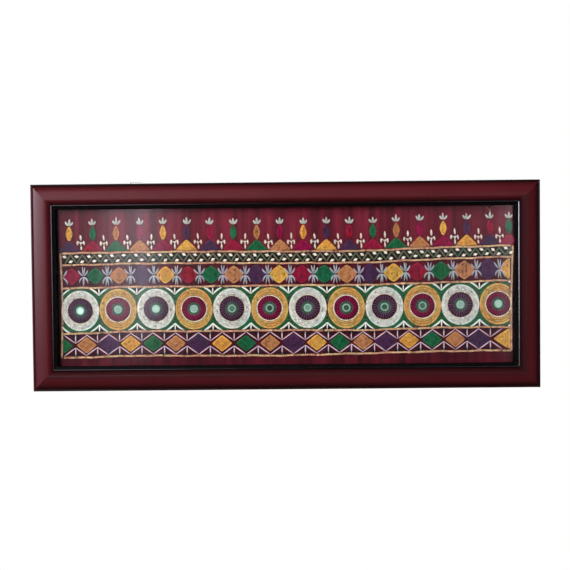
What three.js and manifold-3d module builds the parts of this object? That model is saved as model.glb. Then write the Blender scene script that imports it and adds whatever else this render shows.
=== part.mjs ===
// Framed embroidered panel: a mitred moulding holds glass, an embroidered mirror-work cloth and a board.
// Units are millimetres, +Z is up and the panel faces -Y. The origin is the middle of the flat back.
// Inside the "face" group x runs right, y up and z forward out of the panel; the group is turned upright.

import * as THREE from 'three';
import { mergeVertices } from 'three/addons/utils/BufferGeometryUtils.js';
import Module from 'manifold-3d';

const wasm = await Module();
wasm.setup();

// Outer size of the frame
const FRAME_WIDTH = 620;
const FRAME_HEIGHT = 253;

// Moulding section, measured inward from the outer edge and forward from the flat back
const MOULDING_WIDTH = 30.5;
const REBATE_WIDTH = 6;
const REBATE_DEPTH = 9.6;
const OUTER_BEAD = { width: 2.4, side: 12.2, top: 13.6, valley: 12.6 };
const DOME = { riseAt: 8, crest: 20.5, crestAt: 19, fallAt: 22.2, end: 24, endHeight: 15.6 };
const INNER_BEAD = { start: 24.6, width: 2, foot: 15.2, top: 16.6 };
const LIP = { edge: 29.7, height: 14.4, nose: 13.4 };
const MITRE_PULL_BACK = 0.22;
const MOULDING_STEPS = 6;

// Layers behind the lip, counted forward from the back, with a gap between neighbours
const GAP = 0.3;
const EDGE_CLEARANCE = 0.5;
const BOARD_THICKNESS = 3;
const CLOTH_THICKNESS = 1.5;
const GLASS_THICKNESS = 2;
const CLOTH_BACK = BOARD_THICKNESS + GAP;
const CLOTH_FACE = CLOTH_BACK + CLOTH_THICKNESS;
const GLASS_BACK = REBATE_DEPTH - GAP - GLASS_THICKNESS;
const SHEET_WIDTH = FRAME_WIDTH - 2 * (MOULDING_WIDTH - REBATE_WIDTH + EDGE_CLEARANCE);
const SHEET_HEIGHT = FRAME_HEIGHT - 2 * (MOULDING_WIDTH - REBATE_WIDTH + EDGE_CLEARANCE);

// Corded lines across the cloth: height above the middle at seven even stations between -LINE_REACH and
// LINE_REACH; the lines run on to the upright borders
const LINE_REACH = 276;
const BORDERS = { left: -275.5, right: 277.2 };
const LINE_WIDTH = 2.2;
const LINE_STEPS = 18;
const LINES = {
  moundFoot: [42.5, 43.2, 43.0, 42.2, 41.9, 45.1, 46.8],
  zigzagFoot: [27.7, 29.3, 29.1, 28.0, 27.5, 31.0, 33.3],
  roundelTop: [-0.9, 0.7, 0.1, 0.6, 0.1, 2.1, 4.2],
  roundelFoot: [-57.2, -54.1, -54.9, -54.5, -55.5, -53.2, -53.0],
  lowest: [-86.7, -84.4, -85.3, -85.8, -84.1, -82.4, -81.8],
};

// Rows of motifs: how many, and where they stand at seven even stations from the first to the last; a crowded
// one comes after them, nearer to its neighbour
const ROWS = {
  mounds: { count: 19, stations: [-265.5, -178.8, -92.3, -6.1, 79, 165.2, 251.3], crowded: [274.2] },
  upperDiamonds: { count: 20, stations: [-263, -171, -82, 6.2, 94, 186.2, 277] },
  roundels: { count: 12, stations: [-253, -167.4, -81.6, 3.5, 90.3, 175.8, 261] },
  lowerDiamonds: { count: 20, stations: [-273, -187, -98.5, -4.5, 85.2, 175, 265.4] },
};

// Sizes of the padded motifs; values named Out and Up are shares of the half width and the height
const MOUND = { width: 27, height: 13.4, shoulderOut: 0.5, shoulderUp: 0.58 };
const STEM = { width: 8.6, height: 17.6, foot: 2.8, neck: 1.8, swellUp: 0.32, bellyUp: 0.46, taperUp: 0.62 };
const CROWN = { width: 9, height: 8, waist: 3, notchOut: 0.35, tipUp: 0.55 };
const UPPER_DIAMOND = { width: 23.4, height: 22.4, bulge: 0.32 };
const LOWER_DIAMOND = { width: 24.8, height: 20.2, bulge: 0.27 };
// How many times its size an upper diamond is at the left, in the middle and at the right of its row
const UPPER_GROWTH = [0.9, 1, 1.03];
// Diamonds cut in half by an upright border: how many times as wide and tall as the others they are
const CUT_DIAMONDS = {
  upperRight: { wide: 1, tall: 1.1 },
  lowerLeft: { wide: 1, tall: 1 },
  lowerRight: { wide: 1.6, tall: 1.28 },
};
const ROUNDEL = { width: 45.6, height: 51, ringInside: 24, collar: 30 };
const CURVE_STEPS = 3;
const ROUND_STEPS = 12;
const MERGE_DISTANCE = 1e-4;

// Heights of the padding above the ground of the cloth, and how deep its roots are sewn in
const RELIEF = {
  line: 0.7, border: 0.8, mound: 0.5, stem: 0.55, crown: 0.4, diamond: 0.6, ring: 0.6, collar: 0.9,
};
const ROOT = 0.6;

// Mirrors sewn into the roundels
const MIRROR = { radius: 5, thickness: 0.8, seat: 5.4, sides: 20 };

// Strap hangers on the back of the top rail; the rise is how far a ring stands above the frame
const HANGERS = [
  { side: 'left', x: -183, rise: 5 },
  { side: 'right', x: 183, rise: 1 },
];
const RING = { width: 17, height: 13.3, corner: 3, wire: 1 };
const STRAP = { width: 9, length: 10, sheet: 1, wall: 0.8, play: 0.35 };
const SCREW = { radius: 3.2, rim: 0.5, shoulder: 2.4, shoulderHeight: 1.36, height: 1.7, below: 6 };
const TUBE_STEPS = 48;
const TUBE_SIDES = 8;
const SCREW_SIDES = 20;

const moulding = new THREE.MeshStandardMaterial({ color: 0x5e2229, roughness: 0.35 });
const glazing = new THREE.MeshStandardMaterial({ color: 0xf2f6f4, roughness: 0.03, opacity: 0.12 });
glazing.transparent = true;
const silk = new THREE.MeshStandardMaterial({ color: 0x571a25, roughness: 0.8 });
const silvering = new THREE.MeshStandardMaterial({ color: 0xc9d2cd, roughness: 0.12, metalness: 1 });
const hardboard = new THREE.MeshStandardMaterial({ color: 0x6b4a30, roughness: 0.85 });
const steel = new THREE.MeshStandardMaterial({ color: 0x9a9a98, roughness: 0.4, metalness: 1 });

// Piecewise-straight value at a share (0 to 1) of the way along even stations
function along(stations, share) {
  const place = THREE.MathUtils.clamp(share, 0, 1) * (stations.length - 1);
  const first = Math.min(Math.floor(place), stations.length - 2);
  return THREE.MathUtils.lerp(stations[first], stations[first + 1], place - first);
}

function lineHeight(line, x) {
  return along(line, (x + LINE_REACH) / (2 * LINE_REACH));
}

function rowPlaces({ count, stations, crowded = [] }) {
  const even = Array.from({ length: count }, (_, index) => along(stations, index / (count - 1)));
  return [...even, ...crowded];
}

// Flat shape to a slab that stands between two heights
function slab(shape, from, to, curveSegments = CURVE_STEPS) {
  const settings = { depth: to - from, bevelEnabled: false, curveSegments };
  return new THREE.ExtrudeGeometry(shape, settings).translate(0, 0, from);
}

function toSolid(geometry) {
  const bare = geometry.index ? geometry.toNonIndexed() : geometry.clone();
  bare.deleteAttribute('normal');
  bare.deleteAttribute('uv');
  const merged = mergeVertices(bare, MERGE_DISTANCE);
  const vertProperties = merged.getAttribute('position').array;
  const triVerts = Uint32Array.from(merged.index.array);
  return new wasm.Manifold(new wasm.Mesh({ numProp: 3, vertProperties, triVerts }));
}

function fromSolid(solid) {
  const mesh = solid.getMesh();
  const geometry = new THREE.BufferGeometry();
  geometry.setAttribute('position', new THREE.BufferAttribute(mesh.vertProperties, mesh.numProp));
  geometry.setIndex(new THREE.BufferAttribute(mesh.triVerts, 1));
  geometry.computeVertexNormals();
  return geometry;
}

// Moulding section: outer bead, domed face, inner bead, sloped lip and the rebate behind it
function mouldingSection() {
  const beadMiddle = OUTER_BEAD.width / 2;
  const innerMiddle = INNER_BEAD.start + INNER_BEAD.width / 2;
  const innerEnd = INNER_BEAD.start + INNER_BEAD.width;
  const rebateWall = MOULDING_WIDTH - REBATE_WIDTH;
  const section = new THREE.Shape();
  section.moveTo(0, 0);
  section.lineTo(0, OUTER_BEAD.side);
  section.quadraticCurveTo(0, OUTER_BEAD.top, beadMiddle, OUTER_BEAD.top);
  section.quadraticCurveTo(OUTER_BEAD.width, OUTER_BEAD.top, OUTER_BEAD.width, OUTER_BEAD.valley);
  section.quadraticCurveTo(DOME.riseAt, DOME.crest, DOME.crestAt, DOME.crest);
  section.quadraticCurveTo(DOME.fallAt, DOME.crest, DOME.end, DOME.endHeight);
  section.lineTo(INNER_BEAD.start, INNER_BEAD.foot);
  section.quadraticCurveTo(INNER_BEAD.start, INNER_BEAD.top, innerMiddle, INNER_BEAD.top);
  section.quadraticCurveTo(innerEnd, INNER_BEAD.top, innerEnd, INNER_BEAD.foot);
  section.lineTo(LIP.edge, LIP.height);
  section.quadraticCurveTo(MOULDING_WIDTH, LIP.height, MOULDING_WIDTH, LIP.nose);
  section.lineTo(MOULDING_WIDTH, REBATE_DEPTH);
  section.lineTo(rebateWall, REBATE_DEPTH);
  section.lineTo(rebateWall, 0);
  section.closePath();
  return section;
}

// A rail lies along x with its outer edge on y = 0; both ends are cut back at 45 degrees
function railGeometry(length) {
  const geometry = slab(mouldingSection(), -length / 2, length / 2, MOULDING_STEPS);
  const position = geometry.getAttribute('position');
  for (let i = 0; i < position.count; i += 1) {
    const inward = position.getX(i);
    const forward = position.getY(i);
    const end = -Math.sign(position.getZ(i));
    position.setXYZ(i, end * (length / 2 - inward - MITRE_PULL_BACK), -inward, forward);
  }
  geometry.computeVertexNormals();
  return geometry;
}

function makeRails() {
  const places = [
    { name: 'rail_top', length: FRAME_WIDTH, turn: 0, x: 0, y: FRAME_HEIGHT / 2 },
    { name: 'rail_left', length: FRAME_HEIGHT, turn: Math.PI / 2, x: -FRAME_WIDTH / 2, y: 0 },
    { name: 'rail_bottom', length: FRAME_WIDTH, turn: Math.PI, x: 0, y: -FRAME_HEIGHT / 2 },
    { name: 'rail_right', length: FRAME_HEIGHT, turn: -Math.PI / 2, x: FRAME_WIDTH / 2, y: 0 },
  ];
  return places.map(({ name, length, turn, x, y }) => {
    const rail = namedMesh(name, railGeometry(length), moulding);
    rail.position.set(x, y, 0);
    rail.rotation.z = turn;
    return rail;
  });
}

// A flat sheet as wide and high as the rebate takes
function sheetGeometry(from, thickness) {
  return new THREE.BoxGeometry(SHEET_WIDTH, SHEET_HEIGHT, thickness).translate(0, 0, from + thickness / 2);
}

// A corded line follows its stations from border to border
function lineShape(line) {
  const upper = [];
  const lower = [];
  for (let step = 0; step <= LINE_STEPS; step += 1) {
    const x = THREE.MathUtils.lerp(BORDERS.left, BORDERS.right, step / LINE_STEPS);
    const y = lineHeight(line, x);
    upper.push(new THREE.Vector2(x, y + LINE_WIDTH / 2));
    lower.unshift(new THREE.Vector2(x, y - LINE_WIDTH / 2));
  }
  return new THREE.Shape([...upper, ...lower]);
}

// An upright border line at one side of the bands
function borderShape(x) {
  const top = lineHeight(LINES.moundFoot, x) + LINE_WIDTH / 2;
  const foot = lineHeight(LINES.lowest, x) - LINE_WIDTH / 2;
  const half = LINE_WIDTH / 2 + GAP;
  return new THREE.Shape([
    new THREE.Vector2(x - half, foot - GAP),
    new THREE.Vector2(x + half, foot - GAP),
    new THREE.Vector2(x + half, top + GAP),
    new THREE.Vector2(x - half, top + GAP),
  ]);
}

// A three-sided mound with gently swelling flanks, standing on its foot line
function moundShape(x, foot) {
  const half = MOUND.width / 2;
  const shoulder = half * MOUND.shoulderOut;
  const shoulderHeight = foot + MOUND.height * MOUND.shoulderUp;
  const shape = new THREE.Shape();
  shape.moveTo(x - half, foot);
  shape.lineTo(x + half, foot);
  shape.quadraticCurveTo(x + shoulder, shoulderHeight, x, foot + MOUND.height);
  shape.quadraticCurveTo(x - shoulder, shoulderHeight, x - half, foot);
  return shape;
}

// A stem like a spindle: a blunt foot, a swollen belly and a narrow neck
function stemShape(x, foot) {
  const footHalf = STEM.foot / 2;
  const neckHalf = STEM.neck / 2;
  const half = STEM.width / 2;
  const atHeight = (up) => foot + STEM.height * up;
  const [swell, belly, taper, top] = [STEM.swellUp, STEM.bellyUp, STEM.taperUp, 1].map(atHeight);
  const shape = new THREE.Shape();
  shape.moveTo(x - footHalf, foot);
  shape.lineTo(x + footHalf, foot);
  shape.quadraticCurveTo(x + half, swell, x + half, belly);
  shape.quadraticCurveTo(x + half, taper, x + neckHalf, top);
  shape.lineTo(x - neckHalf, top);
  shape.quadraticCurveTo(x - half, taper, x - half, belly);
  shape.quadraticCurveTo(x - half, swell, x - footHalf, foot);
  return shape;
}

// A three-pointed crown on top of a stem
function crownShape(x, foot) {
  const half = CROWN.width / 2;
  const notch = half * CROWN.notchOut;
  const waist = foot + CROWN.waist;
  const tip = foot + CROWN.height * CROWN.tipUp;
  return new THREE.Shape([
    new THREE.Vector2(x, foot),
    new THREE.Vector2(x + half, tip),
    new THREE.Vector2(x + notch, waist),
    new THREE.Vector2(x, foot + CROWN.height),
    new THREE.Vector2(x - notch, waist),
    new THREE.Vector2(x - half, tip),
  ]);
}

// A diamond whose four sides bulge a little
function diamondShape(x, y, { width, height, bulge }) {
  const half = width / 2;
  const rise = height / 2;
  const shape = new THREE.Shape();
  shape.moveTo(x + half, y);
  shape.quadraticCurveTo(x + width * bulge, y + height * bulge, x, y + rise);
  shape.quadraticCurveTo(x - width * bulge, y + height * bulge, x - half, y);
  shape.quadraticCurveTo(x - width * bulge, y - height * bulge, x, y - rise);
  shape.quadraticCurveTo(x + width * bulge, y - height * bulge, x + half, y);
  return shape;
}

// A diamond as many times as wide and tall as its usual size
function sizedDiamond(x, y, { width, height, bulge }, { wide, tall }) {
  return diamondShape(x, y, { width: width * wide, height: height * tall, bulge });
}

// The row of diamonds above the roundels; the right border cuts the last one
function upperDiamonds() {
  const places = rowPlaces(ROWS.upperDiamonds);
  const last = places.length - 1;
  return places.map((x, index) => {
    const y = (lineHeight(LINES.zigzagFoot, x) + lineHeight(LINES.roundelTop, x)) / 2;
    const growth = along(UPPER_GROWTH, index / last);
    const size = { wide: growth, tall: growth };
    return index === last
      ? sizedDiamond(BORDERS.right, y, UPPER_DIAMOND, CUT_DIAMONDS.upperRight)
      : sizedDiamond(x, y, UPPER_DIAMOND, size);
  });
}

// The row of diamonds under the roundels; the borders cut the first and the last one
function lowerDiamonds() {
  const places = rowPlaces(ROWS.lowerDiamonds);
  const last = places.length - 1;
  return places.map((x, index) => {
    const y = (lineHeight(LINES.roundelFoot, x) + lineHeight(LINES.lowest, x)) / 2;
    if (index === 0) return sizedDiamond(BORDERS.left, y, LOWER_DIAMOND, CUT_DIAMONDS.lowerLeft);
    if (index === last) return sizedDiamond(BORDERS.right, y, LOWER_DIAMOND, CUT_DIAMONDS.lowerRight);
    return diamondShape(x, y, LOWER_DIAMOND);
  });
}

// An oval ring of stitches round an opening
function ringShape(x, y, width, height, opening) {
  const shape = new THREE.Shape();
  shape.absellipse(x, y, width / 2, height / 2, 0, 2 * Math.PI, false);
  const hole = new THREE.Path();
  hole.absellipse(x, y, opening / 2, opening / 2, 0, 2 * Math.PI, true);
  shape.holes.push(hole);
  return shape;
}

function roundelCentres() {
  return rowPlaces(ROWS.roundels).map((x) => {
    const y = (lineHeight(LINES.roundelTop, x) + lineHeight(LINES.roundelFoot, x)) / 2;
    return new THREE.Vector2(x, y);
  });
}

// The padded motifs as { shape, relief, steps } rows
function motifPads() {
  const pads = [];
  const add = (shape, relief, steps = CURVE_STEPS) => pads.push({ shape, relief, steps });
  for (const x of rowPlaces(ROWS.mounds)) {
    const foot = lineHeight(LINES.moundFoot, x) + LINE_WIDTH / 2 + GAP;
    const stemFoot = foot + MOUND.height + GAP;
    add(moundShape(x, foot), RELIEF.mound);
    add(stemShape(x, stemFoot), RELIEF.stem);
    add(crownShape(x, stemFoot + STEM.height + GAP), RELIEF.crown);
  }
  for (const shape of [...upperDiamonds(), ...lowerDiamonds()]) {
    add(shape, RELIEF.diamond);
  }
  for (const { x, y } of roundelCentres()) {
    add(ringShape(x, y, ROUNDEL.width, ROUNDEL.height, ROUNDEL.ringInside), RELIEF.ring, ROUND_STEPS);
    add(ringShape(x, y, ROUNDEL.collar, ROUNDEL.collar, 2 * MIRROR.seat), RELIEF.collar, ROUND_STEPS);
  }
  return pads;
}

// The corded lines and the two upright borders, as the motifs
function linePads() {
  const lines = Object.values(LINES).map((line) => ({ shape: lineShape(line), relief: RELIEF.line }));
  const borders = Object.values(BORDERS).map((x) => ({ shape: borderShape(x), relief: RELIEF.border }));
  return [...lines, ...borders];
}

function padSolid({ shape, relief, steps }) {
  return toSolid(slab(shape, CLOTH_FACE - ROOT, CLOTH_FACE + relief, steps));
}

// The cloth is one sheet whose face rises where it is padded; motifs end under the upright borders
function makeCloth() {
  const sheet = toSolid(sheetGeometry(CLOTH_BACK, CLOTH_THICKNESS));
  const field = new THREE.BoxGeometry(BORDERS.right - BORDERS.left, SHEET_HEIGHT, 2 * GLASS_BACK);
  field.translate((BORDERS.left + BORDERS.right) / 2, 0, 0);
  const motifs = wasm.Manifold.union(motifPads().map(padSolid)).intersect(toSolid(field));
  const sewn = wasm.Manifold.union([sheet, motifs, ...linePads().map(padSolid)]);
  return namedMesh('embroidered_cloth', fromSolid(sewn), silk);
}

function makeMirrors() {
  return roundelCentres().map(({ x, y }, index) => {
    const disc = new THREE.CylinderGeometry(MIRROR.radius, MIRROR.radius, MIRROR.thickness, MIRROR.sides);
    const number = String(index + 1).padStart(2, '0');
    const mirror = namedMesh(`mirror_${number}`, disc.rotateX(Math.PI / 2), silvering);
    mirror.position.set(x, y, CLOTH_FACE + GAP + MIRROR.thickness / 2);
    return mirror;
  });
}

// Side view of a strap: a flat plate that ends in a rolled eye for the ring
function strapSection(eyeRadius) {
  const meeting = Math.PI + Math.asin((eyeRadius - STRAP.sheet) / eyeRadius);
  const section = new THREE.Shape();
  section.moveTo(-STRAP.length, 0);
  section.lineTo(0, 0);
  section.absarc(0, eyeRadius, eyeRadius, -Math.PI / 2, meeting, false);
  section.lineTo(-STRAP.length, STRAP.sheet);
  section.closePath();
  const bore = new THREE.Path();
  bore.absarc(0, eyeRadius, eyeRadius - STRAP.wall, 0, 2 * Math.PI, true);
  section.holes.push(bore);
  return section;
}

// Middle line of a ring: a rectangle with round corners, its lower bar through the origin
function ringPath() {
  const half = RING.width / 2;
  const { height, corner } = RING;
  const at = (x, y) => new THREE.Vector3(x, y, 0);
  const path = new THREE.CurvePath();
  const turn = (from, around, to) => path.add(new THREE.QuadraticBezierCurve3(from, around, to));
  const straight = (from, to) => path.add(new THREE.LineCurve3(from, to));
  straight(at(corner - half, 0), at(half - corner, 0));
  turn(at(half - corner, 0), at(half, 0), at(half, corner));
  straight(at(half, corner), at(half, height - corner));
  turn(at(half, height - corner), at(half, height), at(half - corner, height));
  straight(at(half - corner, height), at(corner - half, height));
  turn(at(corner - half, height), at(-half, height), at(-half, height - corner));
  straight(at(-half, height - corner), at(-half, corner));
  turn(at(-half, corner), at(-half, 0), at(corner - half, 0));
  return path;
}

function screwGeometry() {
  const profile = [
    new THREE.Vector2(0, 0),
    new THREE.Vector2(SCREW.radius, 0),
    new THREE.Vector2(SCREW.radius, SCREW.rim),
    new THREE.Vector2(SCREW.shoulder, SCREW.shoulderHeight),
    new THREE.Vector2(0, SCREW.height),
  ];
  return new THREE.LatheGeometry(profile, SCREW_SIDES);
}

// A strap, its ring and its screw; the group's origin is the middle of the strap's eye
function makeHanger({ side, x, rise }) {
  const eyeRadius = RING.wire + STRAP.play + STRAP.wall;
  const hanger = new THREE.Group();
  hanger.position.set(x, FRAME_HEIGHT / 2 + rise - RING.height - RING.wire, -GAP - eyeRadius);

  const upward = new THREE.Vector3(0, 1, 0);
  const backward = new THREE.Vector3(0, 0, -1);
  const leftward = new THREE.Vector3(-1, 0, 0);
  const section = slab(strapSection(eyeRadius), -STRAP.width / 2, STRAP.width / 2, ROUND_STEPS);
  section.applyMatrix4(new THREE.Matrix4().makeBasis(upward, backward, leftward));
  const strap = namedMesh(`strap_${side}`, section, steel);
  strap.position.z = eyeRadius;

  const loop = new THREE.TubeGeometry(ringPath(), TUBE_STEPS, RING.wire, TUBE_SIDES, true);
  const ring = namedMesh(`ring_${side}`, loop, steel);

  const screw = namedMesh(`screw_${side}`, screwGeometry(), steel);
  screw.rotation.x = -Math.PI / 2;
  screw.position.set(0, -SCREW.below, eyeRadius - STRAP.sheet - GAP);

  hanger.add(strap, ring, screw);
  return hanger;
}

function namedMesh(name, geometry, material) {
  const mesh = new THREE.Mesh(geometry, material.clone());
  mesh.name = name;
  return mesh;
}

const face = new THREE.Group();
face.rotation.x = Math.PI / 2;
face.add(...makeRails());
face.add(namedMesh('glass', sheetGeometry(GLASS_BACK, GLASS_THICKNESS), glazing));
face.add(makeCloth());
face.add(...makeMirrors());
face.add(namedMesh('backing_board', sheetGeometry(0, BOARD_THICKNESS), hardboard));
face.add(...HANGERS.map(makeHanger));

const framedPanel = new THREE.Group();
framedPanel.name = 'framed_embroidered_panel';
framedPanel.add(face);

export default framedPanel;
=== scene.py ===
"""Looks of the framed embroidered panel: lacquered moulding, glass, hand-stitched cloth and sewn mirrors.

The chart of the embroidery is in millimetres: x runs right and z up from the middle of the panel, and a
height is counted forward from the ground of the cloth. Meshes are in metres, in the frame of the solids.
"""

import math

import bpy
import numpy as np
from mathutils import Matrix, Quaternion, Vector


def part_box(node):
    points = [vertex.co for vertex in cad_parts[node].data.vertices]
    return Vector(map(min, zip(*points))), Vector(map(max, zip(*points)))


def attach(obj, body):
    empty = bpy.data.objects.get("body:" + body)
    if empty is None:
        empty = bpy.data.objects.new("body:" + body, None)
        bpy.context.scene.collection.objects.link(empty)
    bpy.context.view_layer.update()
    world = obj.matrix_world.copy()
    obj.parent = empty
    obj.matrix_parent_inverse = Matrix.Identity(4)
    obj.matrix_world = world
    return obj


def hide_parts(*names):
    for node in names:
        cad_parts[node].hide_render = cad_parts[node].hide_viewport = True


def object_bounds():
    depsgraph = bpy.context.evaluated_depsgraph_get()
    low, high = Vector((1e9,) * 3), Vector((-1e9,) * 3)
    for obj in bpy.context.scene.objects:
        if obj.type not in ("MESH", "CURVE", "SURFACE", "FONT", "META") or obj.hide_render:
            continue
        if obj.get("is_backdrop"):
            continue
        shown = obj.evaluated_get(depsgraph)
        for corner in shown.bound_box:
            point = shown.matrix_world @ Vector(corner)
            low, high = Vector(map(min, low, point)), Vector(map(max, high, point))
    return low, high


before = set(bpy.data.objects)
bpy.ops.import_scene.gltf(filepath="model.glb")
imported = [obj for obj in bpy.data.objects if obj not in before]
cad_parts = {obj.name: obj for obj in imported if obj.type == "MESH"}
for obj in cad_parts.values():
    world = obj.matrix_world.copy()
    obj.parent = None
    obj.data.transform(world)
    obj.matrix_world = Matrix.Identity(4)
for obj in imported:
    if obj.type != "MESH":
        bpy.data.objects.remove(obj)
CAD_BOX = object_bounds()

MM = 0.001
TINY = 1e-9
dice = np.random.default_rng(20)

# Places of the cloth, from the solids
CLOTH_LOW, CLOTH_HIGH = (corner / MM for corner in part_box("embroidered_cloth"))
CLOTH_THICKNESS = 1.5
CLOTH_BACK = -CLOTH_HIGH.y
CLOTH_FACE = CLOTH_BACK + CLOTH_THICKNESS
SHEET_WIDTH = CLOTH_HIGH.x - CLOTH_LOW.x
SHEET_HEIGHT = CLOTH_HIGH.z - CLOTH_LOW.z

# Moulding section, inward from the outer edge and forward from the flat back
FRAME_WIDTH = 620
FRAME_HEIGHT = 253
MOULDING_WIDTH = 30.5
REBATE_WALL = 24.5
REBATE_DEPTH = 9.6
OUTER_BEAD = {"width": 2.4, "side": 12.2, "top": 13.6, "valley": 12.6}
DOME = {"rise_at": 8, "crest": 20.5, "crest_at": 19, "fall_at": 22.6, "end": 24.6, "end_height": 15.6}
INNER_BEAD = {"start": 25.2, "width": 2, "foot": 15.2, "top": 16.6}
LIP = {"edge": 29.7, "height": 14.4, "nose": 13.4}
SHOULDER_START = 20.0
MITRE_PULL_BACK = 0.1
SECTION_STEPS = 14
RAIL_STATIONS = 13
RAIL_CREASE = 38
# Finishes of the moulding, as places in its list of materials
LACQUER, BEAD, BARE, DULL, SHOULDER = range(5)
# Rails anticlockwise from the top, with the finishes of the face, the inner bead and the inner shoulder; the
# left rail's face has a painted sheen, the bottom and right rails' face and shoulder have painted shade, and
# the right rail's bead has a painted highlight
RAILS = {
    "rail_top": ("red_black_lacquer", "graphite_bead", "red_black_lacquer"),
    "rail_left": ("sheen_painted_lacquer", "graphite_bead", "sheen_painted_lacquer"),
    "rail_bottom": ("shade_painted_lacquer", "graphite_bead", "dull_shade_painted_lacquer"),
    "rail_right": ("shade_painted_lacquer", "highlight_painted_bead", "dull_shade_painted_lacquer"),
}

# Corded lines across the cloth: height above the middle at seven even stations from left to right
LINE_REACH = 276
LINES = {
    "mound_foot": [42.5, 43.2, 43.0, 42.2, 41.9, 45.1, 46.8],
    "zigzag_foot": [27.7, 29.3, 29.1, 28.0, 27.5, 31.0, 33.3],
    "roundel_top": [-0.9, 0.7, 0.1, 0.6, 0.1, 2.1, 4.2],
    "roundel_foot": [-57.2, -54.1, -54.9, -54.5, -55.5, -53.2, -53.0],
    "lowest": [-86.7, -84.4, -85.3, -85.8, -84.1, -82.4, -81.8],
}
# Upright borders: x at the top, middle and foot
BORDERS = {"left": [-276.6, -274.6, -276.8], "right": [279.0, 276.8, 276.8]}
FIELD = 275.4
LINE_HALF = 1.1
# How the lines sway: depth and length of a slow and of a quick wave
SWAY = {"slow": 0.3, "slow_length": 9.0, "quick": 0.2, "quick_length": 3.7}
# Points along the lines, borders, loops, curves and feet of the motifs
LINE_POINTS = 140
BORDER_POINTS = 40
LOOP_POINTS = 96
ARC_POINTS = 180
CURVE_STEPS = 10
STEM_STEPS = 8
FOOT_POINTS = 12

# Rows of motifs: how many, where they stand at seven even stations from the first to the last, and the order
# of their dyes; a crowded motif comes after them, nearer to its neighbour
ROWS = {
    "mounds": {"count": 19, "stations": [-265.5, -178.8, -92.3, -6.1, 79, 165.2, 251.3], "crowded": [274.2]},
    "upper_diamonds": {"count": 20, "stations": [-263, -171, -82, 6.2, 94, 186.2, 277]},
    "roundels": {"count": 12, "stations": [-253, -167.4, -81.6, 3.5, 90.3, 175.8, 261]},
    "lower_diamonds": {"count": 20, "stations": [-273, -187, -98.5, -4.5, 85.2, 175, 265.4]},
}
MOUND_DYES = ["purple", "crimson", "green", "tan", "magenta", "gold"]
UPPER_DYES = ["crimson", "green", "tan", "purple", "gold"]
LOWER_DYES = ["green", "tan", "purple", "gold"]

# Sizes of the motifs; values named out and up are shares of the half width and the height
MOUND = {"width": 27, "height": 13.4, "shoulder_out": 0.5, "shoulder_up": 0.58}
STEM = {
    "width": 8.4, "height": 17.6, "foot": 2.2, "neck": 1.4,
    "swell_up": 0.34, "belly_up": 0.46, "taper_up": 0.6,
}
STEM_GAP = 0.3
# Diamonds: the growth is how many times that size they are at the left, in the middle and at the right
UPPER_DIAMOND = {"width": 23.8, "height": 22.8, "bulge": 0.32, "growth": [0.9, 1.0, 1.03]}
LOWER_DIAMOND = {"width": 25.2, "height": 20.6, "bulge": 0.27, "growth": [1.0, 1.0, 1.0]}
# Diamonds of some dyes are larger than the rest
DIAMOND_SCALE = {"purple": 1.14}
# Diamonds cut in half by an upright border, by row and place in it: how many times as wide and tall as others
CUT_DIAMONDS = {
    ("upper_diamonds", 19): {"wide": 1.0, "tall": 1.1},
    ("lower_diamonds", 0): {"wide": 1.0, "tall": 1.0},
    ("lower_diamonds", 19): {"wide": 1.6, "tall": 1.28},
}

# The two kinds of roundel, as radii: the outer ring's half width and half height, then rings inward
ROUNDELS = [
    {
        "ring": "white", "wide": 23.3, "high": 25.0, "inside": 15.4, "innermost": "blush",
        "collar": "purple", "spoke": "mauve",
    },
    {
        "ring": "honey", "wide": 23.0, "high": 25.8, "inside": 16.2, "innermost": "honey",
        "collar": "magenta", "spoke": "rose",
    },
]
TRIM = {"around": "honey", "radius": 15.6, "width": 1.3, "strand": 0.58, "lift": 0.35}
# Spokes round a mirror, the dark stitches between them, and the mossy rounds and mint stitches over its rim
COLLAR = {"outside": 15.0, "inside": 7.7, "spokes": 52, "dark_inset": 0.4}
SPOKE = {"width": 0.85, "lift": 0.4, "end_lift": 0.6, "tone": 0.12}
GROOVE = {"width": 1.75, "lift": 0.3, "end_lift": 0.5, "tone": -0.54}
MOSS = {"width": 1.7, "strand": 0.7, "lift": 0.75}
MOSS_RINGS = [5.8, 6.8, 7.7]
MINT = {"outside": 5.1, "inside": 3.3, "stitches": 22}
MINT_STITCH = {"width": 0.9, "lift": 0.95, "end_lift": 1.15}
# Green arcs outside a ring: how far out, how near they come to the lines, and the fewest points of one
GREEN_ARCS = [1.1, 3.2, 5.3]
ARC_CLEARANCE = 0.5
SHORTEST_ARC = 3
# The satin under it all: its grid of points, how far it dips behind the stitches, and the angle of its edges
GROUND = {"columns": 287, "rows": 103, "dip": 0.12, "crease": 50}
# Its folds, which sway from top to foot, and its slanting ripples: depths and lengths
FOLDS = {"depth": 0.07, "length": 2.3, "sway": 1.5, "sway_length": 31}
RIPPLES = {"depth": 0.05, "length": 5.1, "slant": 47}
# The mirrors; their height is that of their backs above the ground
MIRROR = {"radius": 5.0, "thickness": 0.8, "height": 0.3, "bevel": 0.25, "sides": 40}
# How bright each mirror is, left to right: a painted reflection of what each one faces, 1 bright and 0 dark
PAINTED_MIRROR_BRIGHTNESS = [1.0, 0.3, 0.6, 0.37, 0.1, 0.0, 0.26, 0.02, 0.02, 0.06, 0.37, 0.58]

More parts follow.
